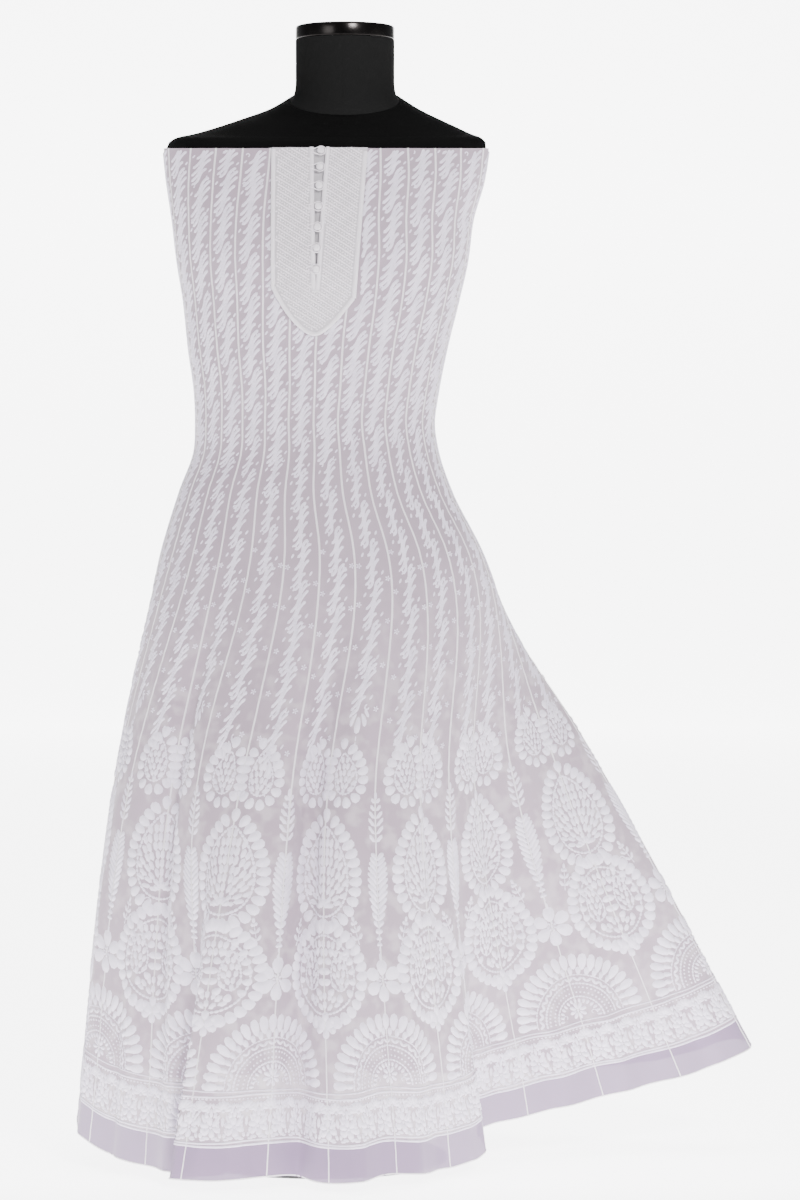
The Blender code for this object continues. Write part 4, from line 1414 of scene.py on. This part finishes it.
class Embroidery:
    """The whole embroidery of the net: columns, clusters and border."""

    # Lengths over the hem (mm)
    BAND_TOP = 91.0
    MEDALLION = 98.0
    FLOWER = 216.0
    FERN = 300.0
    POSY = 224.0
    LOTUS = 336.0
    PAIR = 440.0
    COLUMN_END = 478.0
    # Length down from which the ropes are narrow (mm)
    NARROW_FROM = 340.0

    # Cloth covered by the placket, and the first length down with stitches (m)
    CORNER_DOWN = 0.178
    FOOT_DOWN = 0.218
    COVERED_HALF = 0.049
    FOOT_ROUNDNESS = 1.7
    FIRST_DOWN = 0.004

    def __init__(self, surface: NetSurface, thread: bpy.types.Material) -> None:
        """Keep the surface and the thread."""
        self.surface = surface
        self.thread = thread
        self.random = np.random.default_rng(26)

    def vary(self, place, down, scale=1.0, mirror=False) -> Spot:
        """Spot with the small unevenness of hand work."""
        turn = float(self.random.normal(0.0, 0.02))
        shift = float(self.random.normal(0.0, 0.0010))
        size = scale * float(1.0 + self.random.normal(0.0, 0.015))
        return Spot(place, down + shift, turn, size, mirror)

    def columns(self) -> None:
        """Slanted leaves down the middle of every panel."""
        length, drape = self.surface.length, self.surface.drape
        stitching = Stitching(self.surface)
        wide, narrow, florets, buds = [], [], [], []
        for index in range(PANELS):
            place = index + 0.5
            down = -0.012 + 0.014 * (index % 2) + float(self.random.uniform(0, 0.006))
            end = length - self.COLUMN_END * MM + float(self.random.uniform(-0.02, 0.03))
            while down < end - 0.03:
                width = float(drape.width(place, down))
                scale = min(max(width / 0.0335, 0.84), 1.04)
                leaves = wide if down < self.NARROW_FROM * MM else narrow
                leaves.append(self.vary(place, down + 0.022 * scale, scale))
                if width > 0.036:
                    for side in (-1, 1):
                        aside = place + side * min(0.0165, width * 0.40) / width
                        florets.append(self.vary(aside, down + 0.034 + 0.009 * side, 0.9))
                down += 0.045 * scale
            buds.append(self.vary(place, down + 0.010, 1.1))
        stitching.lay(Motifs.rope_leaf(144.0, Motifs.WIDE_ROPE, 4.6, 10.6), wide)
        stitching.lay(Motifs.rope_leaf(152.0, Motifs.NARROW_ROPE, 3.8, 8.6), narrow)
        stitching.lay(Motifs.floret(), florets)
        stitching.lay(Motifs.bud(), buds)
        self.split(stitching, "column_stitches", self.in_sight)

    def in_sight(self, place: np.ndarray, down: np.ndarray) -> np.ndarray:
        """Whether stitches lie clear of the top edge and of the placket."""
        from_seam = np.mod(place + PANELS / 2, PANELS) - PANELS / 2
        aside = np.abs(from_seam) * self.surface.drape.width(place, down)
        low = np.clip((down - self.CORNER_DOWN) / (self.FOOT_DOWN - self.CORNER_DOWN), 0.0, 1.0)
        half = self.COVERED_HALF * (1.0 - low**self.FOOT_ROUNDNESS)
        under = (aside < half) & (down < self.FOOT_DOWN)
        return (down > self.FIRST_DOWN) & ~under

    def border(self) -> None:
        """Clusters, medallions and the zigzag band round the hem."""
        length = self.surface.length
        stitching = Stitching(self.surface)
        even, odd = range(0, PANELS, 2), range(1, PANELS, 2)
        pairs = (
            (Motifs.medallion(), even, self.MEDALLION, 1.0),
            (Motifs.flower(), even, self.FLOWER, 1.05),
            (Motifs.fern(), even, self.FERN, 1.18),
            (Motifs.posy(), odd, self.POSY, 1.10),
            (Motifs.lotus(), odd, self.LOTUS, 1.10),
            (Motifs.pair(), odd, self.PAIR, 1.0),
        )
        for motif, homes, over, scale in pairs:
            stitching.lay(motif, [self.vary(home, length - over * MM, scale) for home in homes])
        stem = Motif()
        stem.sprig(0, 0, math.pi, 52, 6, 15.0, 5.0)
        stitching.lay(stem, [self.vary(home, length - 0.362) for home in even])
        filling = Motif()
        for side in (-1, 1):
            filling.sprig(side * 26, 14, math.pi - side * 0.25, 26, 3, 10.0, 4.4)
            filling.curl(side * 37, 4, 5.0, side * 0.5, side * 4.4)
        stitching.lay(filling, [self.vary(home, length - 0.268) for home in even])
        for home in even:
            width = float(self.surface.drape.width(float(home), length - 0.055)) * 2 / MM
            stitching.lay(Motifs.band(width), [Spot(home, length - self.BAND_TOP * MM)])
        self.split(stitching, "border_stitches")

    def split(self, stitching: Stitching, name: str, kept=None) -> None:
        """Build four joined pieces, one for each side of the gown.

        Args:
            stitching: the stitches.
            name: name of the pieces, before the side.
            kept: test of places and lengths down, all being kept without one.
        """
        sides = ("front", "spread_side", "back", "far_side")
        share = PANELS / 4
        for number, side in enumerate(sides):
            def held(place, down, number=number):
                """Rows that belong to this side."""
                turn = np.mod(place + share / 2, PANELS)
                side_rows = (turn >= number * share) & (turn < (number + 1) * share)
                return side_rows if kept is None else side_rows & kept(place, down)

            stitching.build(f"{name}_{side}", self.thread, held)


@dataclass(frozen=True)
class PlacketSizes:
    """Sizes of the placket, from the centre front seam and down from the top edge."""

    top: float = 1.193
    left_top: float = 0.056
    left_low: float = 0.051
    right_top: float = 0.058
    right_low: float = 0.046
    left_corner: float = 0.168
    right_corner: float = 0.182
    tip: float = 0.2255
    roundness: float = 1.6
    rise: float = 0.030
    seam_top: float = 0.0012
    seam_tip: float = -0.0047
    slit_half: float = 0.0074
    slit_length: float = 0.171
    face: float = 0.0023
    piping: float = 0.0026


class Placket:
    """U-shaped band round the front slit, with needle-lace stitches and piping."""

    def __init__(self, surface: NetSurface, sizes: PlacketSizes) -> None:
        """Keep the surface and tabulate the centre line."""
        self.surface = surface
        self.drape = surface.drape
        self.sizes = sizes
        self.downs = np.linspace(0.0, 0.30, 121)
        self.lows = sizes.top - self.drape.points(0.0, self.downs)[:, 2]

    def seam_x(self, low):
        """Sideways place of the centre seam."""
        return self.sizes.seam_top + (self.sizes.seam_tip - self.sizes.seam_top) * low / self.sizes.tip

    def cloth(self, x, low) -> tuple:
        """Place and length down of the cloth under a point seen from the front."""
        x, low = np.broadcast_arrays(np.asarray(x, float), np.asarray(low, float))
        down = np.interp(low, self.lows, self.downs)
        place = (x - 0.001) / 0.034
        for _ in range(5):
            here = self.drape.points(place, down)[..., 0]
            ahead = self.drape.points(place + 0.05, down)[..., 0]
            place = place - (here - x) / ((ahead - here) / 0.05)
        return place, down

    def outline(self, inset: float = 0.0, steps: int = 60) -> np.ndarray:
        """Outer edge from the top left round the tip to the top right, as x and depth below the top."""
        sizes = self.sizes
        points = [(self.seam_x(0.0) - sizes.left_top + inset, -sizes.rise)]
        for step in range(steps + 1):
            share = step / steps
            side = -math.cos(share * math.pi)
            corner = sizes.left_corner + (sizes.right_corner - sizes.left_corner) * share
            low = corner + (sizes.tip - inset - corner) * (1 - abs(side) ** sizes.roundness)
            reach = (sizes.left_low if side < 0 else sizes.right_low) - inset
            points.append((self.seam_x(low) + side * reach, low))
        points.append((self.seam_x(0.0) + sizes.right_top - inset, -sizes.rise))
        dense = [np.linspace(a, b, 40, endpoint=False) for a, b in zip(points[:-1], points[1:])]
        return np.vstack([*dense, points[-1:]])

    def spans(self, low: np.ndarray) -> tuple:
        """Left and right outer edges at depths below the top."""
        outline = self.outline()
        turn = int(np.argmax(outline[:, 1]))
        left, right = outline[: turn + 1], outline[turn:][::-1]
        return np.interp(low, left[:, 1], left[:, 0]), np.interp(low, right[:, 1], right[:, 0])

    def slit(self, low: np.ndarray) -> np.ndarray:
        """Half the width of the slit at depths below the top."""
        return np.maximum(self.sizes.slit_half * (1.0 - low / self.sizes.slit_length), 0.00005)

    def band(self, material: bpy.types.Material) -> None:
        """Cloth of the placket in two halves that meet below the slit."""
        lows = np.linspace(self.lows[0] + 0.0001, self.sizes.tip - 0.0008, 90)
        left, right = self.spans(lows)
        middle, half = self.seam_x(lows), self.slit(lows)
        pile = Pile()
        area = 0.0
        for outer, inner in ((left, middle - half), (middle + half, right)):
            share = np.linspace(0.0, 1.0, 13)
            x = outer[:, None] + (inner - outer)[:, None] * share
            place, down = self.cloth(x, np.broadcast_to(lows[:, None], x.shape))
            puff = 0.0005 * np.sin(math.pi * share) ** 0.5
            height = self.sizes.face + puff[None, :] + 0.0002 * np.sin(down * 260 + place * 9)
            points = self.drape.points(place, down) + self.drape.outward(place, down) * height[..., None]
            pile.grid(points, np.stack([x, down], axis=-1))
            area += float(np.trapz(np.abs(inner - outer), lows))
        piece = settle(pile.build("placket_band", material), "placket", "placket")

    def edges(self, material: bpy.types.Material) -> None:
        """Smooth piping on the outer and slit edges, and the bar at the slit's foot."""
        for name, node, path in (
            ("outer_piping", "placket_piping", self.outline(self.sizes.piping * 0.8)),
            ("slit_edge_piping", "slit_piping", self.slit_path()),
        ):
            keep = path[:, 1] >= self.lows[0]
            place, down = self.cloth(path[keep, 0], path[keep, 1])
            cords = Cords(self.surface)
            lift = self.sizes.face + 0.0001
            cords.lay(place, down, self.sizes.piping, 0.0019, lift, self.drape)
            settle(cords.pile.build(name, material), "placket", node)
        low = self.sizes.slit_length + 0.0035
        x = self.seam_x(low) + np.linspace(-0.0042, 0.0042, 9)
        place, down = self.cloth(x, np.full_like(x, low))
        bar = Cords(self.surface)
        bar.lay(place, down, 0.0012, 0.0014, self.sizes.face + 0.0016, self.drape)
        settle(bar.pile.build("slit_bar", material), "placket")

    def slit_path(self) -> np.ndarray:
        """Line of the piping down one side of the slit, round its foot and up."""
        lows = np.linspace(self.lows[0], self.sizes.slit_length, 60)
        out = self.slit(lows) + self.sizes.piping * 0.9
        left = np.stack([self.seam_x(lows) - out, lows], axis=1)
        right = np.stack([self.seam_x(lows) + out, lows], axis=1)[::-1]
        turns = np.linspace(-math.pi / 2, math.pi / 2, 9)[1:-1]
        foot = float(out[-1])
        low = self.sizes.slit_length
        bend = np.stack([self.seam_x(low) + foot * np.sin(turns), low + foot * np.cos(turns)], 1)
        return np.vstack([left, bend, right])

    def stitches(self, material: bpy.types.Material) -> None:
        """Slanted rows of small stitches that cover the band."""
        stitching = PlacketStitching(self)
        motif = Motif()
        border = self.outline(self.sizes.piping * 2.3, 40)
        slant = math.radians(58.0)
        along = np.array([math.sin(slant), math.cos(slant)])
        aside = np.array([math.cos(slant), -math.sin(slant)])
        centre = np.array([0.0, 0.12])
        for row in range(-54, 55):
            for step in range(-60, 61):
                shift = 0.5 * (row % 2)
                spot = centre + along * (step + shift) * 0.0032 + aside * row * 0.0031
                x, low = spot
                clear = abs(x - self.seam_x(low)) - float(self.slit(np.array(low)))
                needed = self.sizes.piping * 2.2 if low < self.sizes.slit_length + 0.004 else -1.0
                if low < self.lows[0] + 0.001 or clear < needed:
                    continue
                if not inside(border, x, low, 0.0012):
                    continue
                if row % 2:
                    motif.stitch(x / MM, low / MM, slant, 4.4, 2.3, height=1.6)
                else:
                    lean = slant + (0.75 if step % 2 else -0.75)
                    motif.stitch(x / MM, low / MM, lean, 3.6, 1.7, height=1.1)
        stitching.lay(motif, [Spot(0.0, 0.0)])
        stitching.build("placket_stitches", material)


class PlacketStitching(Stitching):
    """Raised stitches laid on the placket, in its view from the front."""

    def __init__(self, placket: Placket) -> None:
        """Keep the placket that the stitches lie on."""
        super().__init__(placket.surface)
        self.placket = placket

    def cloth_map(self, home, across, down) -> tuple:
        """Places of points seen from the front."""
        return self.placket.cloth(across, down)

    def lifted(self, place, down, height) -> np.ndarray:
        """Points over the placket's face."""
        drape = self.surface.drape
        lift = self.placket.sizes.face + 0.0002 + height
        return drape.points(place, down) + drape.outward(place, down) * lift[..., None]


@dataclass(frozen=True)
class ButtonSizes:
    """Sizes of the buttons and loops down the slit."""

    count: int = 7
    radius: float = 0.0043
    height: float = 0.0042
    first: float = 0.006
    pitch: float = 0.0240
    drift: float = 0.0014
    seam_top: float = 0.0012
    seam_slope: float = -0.0262
    foot: float = 0.0041
    cord: float = 0.0007
    loop: float = 0.0054
    leg: float = 0.0115
    spread: float = 0.0014


class Buttons:
    """Cloth-covered buttons and their loops."""

    def __init__(self, surface: NetSurface, sizes: ButtonSizes) -> None:
        """Keep the surface and the sizes."""
        self.drape = surface.drape
        self.sizes = sizes

    def seat(self, number: int) -> tuple:
        """Centre and directions of one button."""
        sizes = self.sizes
        down = np.array(sizes.first + number * sizes.pitch)
        aside = sizes.drift * (1.0 - number / (sizes.count - 1))
        aside = aside + sizes.seam_top + sizes.seam_slope * down - self.drape.points(0.0, down)[0]
        place = aside / self.drape.width(0.3, down)
        outward = self.drape.outward(place, down)
        centre = self.drape.points(place, down) + outward * sizes.foot
        across = unit(np.cross([0.0, 0.0, 1.0], outward))
        return centre, across, np.cross(outward, across), outward

    def cover(self, number: int, pile: Pile) -> None:
        """Add one domed button with the gathers of its cover."""
        centre, across, upward, outward = self.seat(number)
        sizes = self.sizes
        falls = np.linspace(0.02, 1.0, 12)
        turns = np.linspace(0.0, 2 * math.pi, 28, endpoint=False)
        radius = sizes.radius * np.sin(falls * math.pi * 0.78) ** 0.7
        gather = 1.0 + 0.03 * np.sin(turns * 9)[None, :] * falls[:, None]
        rise = sizes.height * (0.5 + 0.5 * np.cos(falls * math.pi * 0.9))
        x = radius[:, None] * np.cos(turns) * gather
        y = radius[:, None] * np.sin(turns) * gather
        points = centre + x[..., None] * across + y[..., None] * upward
        points = points + rise[:, None, None] * outward
        pile.grid(points, np.stack([x, y], axis=-1), closed=True)
        cap = centre + outward * sizes.height
        fan = [(len(turns), index, (index + 1) % len(turns)) for index in range(len(turns))]
        marks = np.zeros((len(turns) + 1, 2))
        pile.add(np.vstack([points[0], cap]), [np.array(fan)], marks)

    def loop(self, number: int, pile: Pile) -> None:
        """Add one loop of round cord that lies round its button."""
        centre, across, upward, outward = self.seat(number)
        sizes = self.sizes
        turns = np.radians(np.linspace(125.0, -125.0, 25))
        x = np.concatenate([[-sizes.leg], sizes.loop * np.cos(turns), [-sizes.leg]])
        y = np.concatenate([[sizes.spread], sizes.loop * np.sin(turns), [-sizes.spread]])
        rise = sizes.cord + 0.0004 * np.sin(np.linspace(0, 5, len(x)))
        path = centre + x[:, None] * across + y[:, None] * upward + rise[:, None] * outward
        along = unit(np.gradient(path, axis=0))
        aside = unit(np.cross(outward, along))
        around = np.linspace(0.0, 2 * math.pi, 8, endpoint=False)
        ring = np.cos(around)[None, :, None] * aside[:, None]
        ring = ring + np.sin(around)[None, :, None] * np.cross(along, aside)[:, None]
        points = path[:, None] + sizes.cord * ring
        run = np.linspace(0.0, 0.04, len(path))
        marks = np.stack(np.broadcast_arrays(run[:, None], around[None, :] * 0.0005), axis=-1)
        pile.grid(points, marks, closed=True)

    def build(self, cover: bpy.types.Material, cord: bpy.types.Material) -> None:
        """Make the buttons and the loops."""
        buttons, loops = Pile(), Pile()
        for number in range(self.sizes.count):
            self.cover(number, buttons)
            self.loop(number, loops)
        numbers = range(1, self.sizes.count + 1)
        names = [f"button_{number}" for number in numbers]
        settle(buttons.build("covered_buttons", cover), "placket", *names)
        names = [f"loop_{number}" for number in numbers]
        settle(loops.build("button_loops", cord), "placket", *names)


class Layers:
    """Slip lining and the dress form under the net."""

    def __init__(self, drape: Drape) -> None:
        """Keep the gown's large form."""
        self.drape = drape
        self.columns = np.arange(0, PANELS * SAMPLES_PER_PANEL, 3)

    def under(self, inset: float, rows: np.ndarray) -> list:
        """Rings under the bodice at an inset."""
        place = self.columns / SAMPLES_PER_PANEL
        rings = []
        for down in rows:
            downs = np.full_like(place, down)
            outward = self.drape.outward(place, downs)
            rings.append(self.drape.points(place, downs) - outward * inset)
        return rings

    def oval(self, row: tuple) -> np.ndarray:
        """Ring of an oval table row."""
        height, centre_x, half_width, front_depth, back_depth = row
        ring = body_ring(height, centre_x, 0.0, half_width, front_depth, back_depth)
        return ring[self.columns]

    @staticmethod
    def smoothed(rings: list, steps: int) -> np.ndarray:
        """Rings with more rings between them on smooth curves."""
        rings = np.array(rings)
        spans = np.linalg.norm(np.diff(rings, axis=0), axis=2).mean(axis=1)
        keys = np.concatenate([[0.0], np.cumsum(spans)])
        slopes = spline_tangents(keys, rings)
        found = []
        for row in range(len(rings) - 1):
            span = keys[row + 1] - keys[row]
            for step in range(steps):
                ends = (rings[row], rings[row + 1], slopes[row], slopes[row + 1])
                found.append(hermite(step / steps, span, *ends))
        return np.array([*found, rings[-1]])

    @staticmethod
    def marks(rings: np.ndarray) -> np.ndarray:
        """Places on flat cloth of rings of points."""
        round_run = np.linalg.norm(np.diff(rings, axis=1), axis=2).mean(axis=0).cumsum()
        down_run = np.linalg.norm(np.diff(rings, axis=0), axis=2).mean(axis=1).cumsum()
        across = np.concatenate([[0.0], round_run])
        down = np.concatenate([[0.0], down_run])
        return np.stack(np.broadcast_arrays(across[None, :], down[:, None]), axis=-1)

    def lining(self, material: bpy.types.Material) -> None:
        """Slip from the top edge to below the knee."""
        rings = self.under(0.0016, self.drape.keys[: WAIST_ROW + 1])
        rings.extend(self.oval(row) for row in LINING_RINGS)
        smooth = self.smoothed(rings, 6)
        marks = self.marks(smooth)
        ripple = np.sin(marks[..., 0] * 61.0 + 1.1 * np.sin(marks[..., 1] * 7.0))
        smooth[..., 0] -= 0.001 * ripple * ease((marks[..., 1] - 0.5) / 0.4) * np.sign(smooth[..., 0])
        pile = Pile()
        pile.grid(smooth, marks, closed=True)
        piece = settle(pile.build("slip_lining", material), "slip", "lining_slip")

    @staticmethod
    def capped(name: str, rings: np.ndarray, material: bpy.types.Material, crisp: float) -> bpy.types.Object:
        """Closed form from rings, with a fan over each end."""
        pile = Pile()
        pile.grid(rings[::-1], Layers.marks(rings)[::-1], closed=True)
        count = rings.shape[1]
        for ring, flip in ((rings[0], True), (rings[-1], False)):
            fan = np.array([(count, index, (index + 1) % count) for index in range(count)])
            fan = fan[:, ::-1] if flip else fan
            points = np.vstack([ring, ring.mean(axis=0)])
            pile.add(points, [fan], points[:, :2])
        return pile.build(name, material, crisp)

    def torso(self, material: bpy.types.Material) -> None:
        """Jersey-covered torso, from the hips to the shoulders."""
        rings = [self.oval(row) for row in TORSO_LOWER_RINGS[::-1]]
        rings.extend(self.under(0.0031, self.drape.keys[: WAIST_ROW + 1])[::-1])
        body = self.smoothed(rings, 5)
        shoulders = [tilted_ring(*row)[self.columns] for row in SHOULDER_RINGS]
        rings = np.concatenate([body, self.smoothed(shoulders, 5)])
        piece = self.capped("torso_cover", rings, material, 50.0)
        settle(piece, "form_cloth", "form_torso")

    def neck(self, cloth: bpy.types.Material, metal: bpy.types.Material) -> None:
        """Knit-covered neck block and its polished cap."""
        rings = []
        for height, flare, drop in NECK_RINGS:
            ring = tilted_ring(height, 29.0, 9.0, 58.4 + flare, 55.0 + flare, drop)
            rings.append(ring[self.columns])
        piece = self.capped("neck_cover", self.smoothed(rings, 5), cloth, 50.0)
        settle(piece, "neck_cloth", "form_neck")
        rings = []
        for height, inset in RIM_RINGS:
            ring = tilted_ring(height, 29.0, 9.0, 58.4 - inset, 55.0 - inset, 0.0)
            rings.append(ring[self.columns])
        piece = self.capped("neck_cap", np.array(rings), metal, 40.0)
        settle(piece, "dark_chrome", "neck_rim")


@dataclass(frozen=True)
class Studio:
    """Plain pale room, soft lights and the camera."""

    half_width: float = 8.0
    wall_y: float = 12.0
    front_y: float = -7.5
    wall_height: float = 7.0
    bend: float = 2.0
    camera_x: float = 0.094
    camera_y: float = -5.0
    camera_z: float = 0.766
    lens: float = 127.1
    shift_y: float = -0.0749

    def room(self) -> None:
        """Floor that turns up into a wall without an edge."""
        turns = np.linspace(0.0, math.pi / 2, 16)
        curve = self.wall_y - self.bend + self.bend * np.sin(turns)
        y = np.concatenate([[self.front_y], curve, [self.wall_y]])
        z = np.concatenate([[0.0], self.bend - self.bend * np.cos(turns), [self.wall_height]])
        sides = np.array([-self.half_width, self.half_width])
        points = np.stack(np.broadcast_arrays(sides[None, :], y[:, None], z[:, None]), axis=-1)
        pile = Pile()
        pile.grid(points[::-1], points[::-1][..., :2].copy())
        room = pile.build("studio_paper", PaperFinish().build("studio_paper"))

    @staticmethod
    def lamp(name: str, spot: tuple, target: tuple, size: float, power: float) -> None:
        """Soft square lamp turned to a point."""
        data = bpy.data.lights.new(name, "AREA")
        data.size = size
        data.energy = power
        lamp = bpy.data.objects.new(name, data)
        lamp.location = spot
        lamp.rotation_euler = (Vector(target) - Vector(spot)).to_track_quat("-Z", "Y").to_euler()
        bpy.context.scene.collection.objects.link(lamp)

    def lights(self) -> None:
        """Broad soft light from the front, a little stronger from the right."""
        self.lamp("key_light", (1.3, -4.0, 2.5), (0.0, 0.0, 0.7), 0.8, 250.0)
        self.lamp("fill_light", (-2.6, -3.6, 1.4), (0.1, 0.0, 0.6), 1.6, 40.0)
        self.lamp("wall_light", (0.0, 0.6, 4.2), (0.0, 2.4, 1.0), 3.0, 150.0)
        world = bpy.data.worlds.new("soft_room")
        world.use_nodes = True
        sky = world.node_tree.nodes["Background"]
        sky.inputs["Color"].default_value = (0.96, 0.97, 1.0, 1.0)
        sky.inputs["Strength"].default_value = 0.30
        bpy.context.scene.world = world

    def camera(self) -> None:
        """Level camera in front, as in the picture."""
        data = bpy.data.cameras.new("front_camera")
        data.sensor_width = 36.0
        data.lens = self.lens
        data.shift_y = self.shift_y
        camera = bpy.data.objects.new("front_camera", data)
        camera.location = (self.camera_x, self.camera_y, self.camera_z)
        camera.rotation_euler = (math.pi / 2, 0.0, 0.0)
        bpy.context.scene.collection.objects.link(camera)
        bpy.context.scene.camera = camera


def dress_stand() -> None:
    """Give the hidden stand its painted and brushed metal."""
    painted = MetalFinish((0.030, 0.030, 0.030, 1), (0.018, 0.018, 0.018, 1), 0.45, 0.0).build("stand_paint")
    brushed = MetalFinish((0.60, 0.60, 0.61, 1), (0.42, 0.42, 0.43, 1), 0.34, 1.0).build("stand_steel")
    for node, material in (
        ("base_plate", painted),
        ("pole", brushed),
        ("pole_socket", brushed),
        ("pole_collar", brushed),
    ):
        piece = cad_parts[node]
        piece.data.materials.clear()
        piece.data.materials.append(material)


def main() -> None:
    logging.basicConfig(level=logging.INFO, format="%(name)s: %(message)s")
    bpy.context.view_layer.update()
    drape = Drape.of_gown()
    surface = NetSurface(drape)
    sizes = NetSizes()
    thread = ThreadFinish().build("embroidery_thread")
    net = NetFinish().build("gown_net", drape.length - sizes.strip)
    seam = WovenFinish(shade(0.76, 0.06, 0.06), shade(0.66, 0.06, 0.07), 0.0009, 0.7).build("seam_cloth")
    cotton = WovenFinish(shade(0.52, 0.09, 0.09), shade(0.43, 0.09, 0.10), 0.0010, 0.65)
    cotton = cotton.build("placket_cloth")
    piping = WovenFinish(shade(0.76, 0.07, 0.07), shade(0.67, 0.07, 0.08), 0.0010, 0.65).build("piping_cloth")
    ivory = ThreadFinish(shade(0.86, 0.07, 0.07), shade(0.70, 0.08, 0.08)).build("placket_thread")
    crepe = WovenFinish(shade(0.50, 0.06, 0.07), shade(0.42, 0.06, 0.08), 0.0011, 0.6).build("slip_crepe")
    jersey = WovenFinish(shade(0.004), shade(0.002), 0.0014, 0.85, 0.0, shine=0.02).build("form_jersey")
    knit = WovenFinish(shade(0.010), shade(0.007), 0.0018, 0.88, 0.0, shine=0.04).build("neck_knit")
    chrome = MetalFinish((0.034, 0.031, 0.030, 1), (0.012, 0.011, 0.011, 1), 0.24, 1.0).build("dark_metal")
    panels = NetPanels(surface, sizes)
    for index in range(PANELS):
        panels.panel(index, net)
    panels.seams(seam)
    panels.edgings(thread)
    panels.hem(seam)
    embroidery = Embroidery(surface, thread)
    embroidery.columns()
    embroidery.border()
    placket = Placket(surface, PlacketSizes())
    placket.band(cotton)
    placket.edges(piping)
    placket.stitches(ivory)
    Buttons(surface, ButtonSizes()).build(piping, ivory)
    layers = Layers(drape)
    layers.lining(crepe)
    layers.torso(jersey)
    layers.neck(knit, chrome)
    dress_stand()
    studio = Studio()
    studio.room()
    studio.lights()
    studio.camera()


if __name__ == "__main__":
    main()
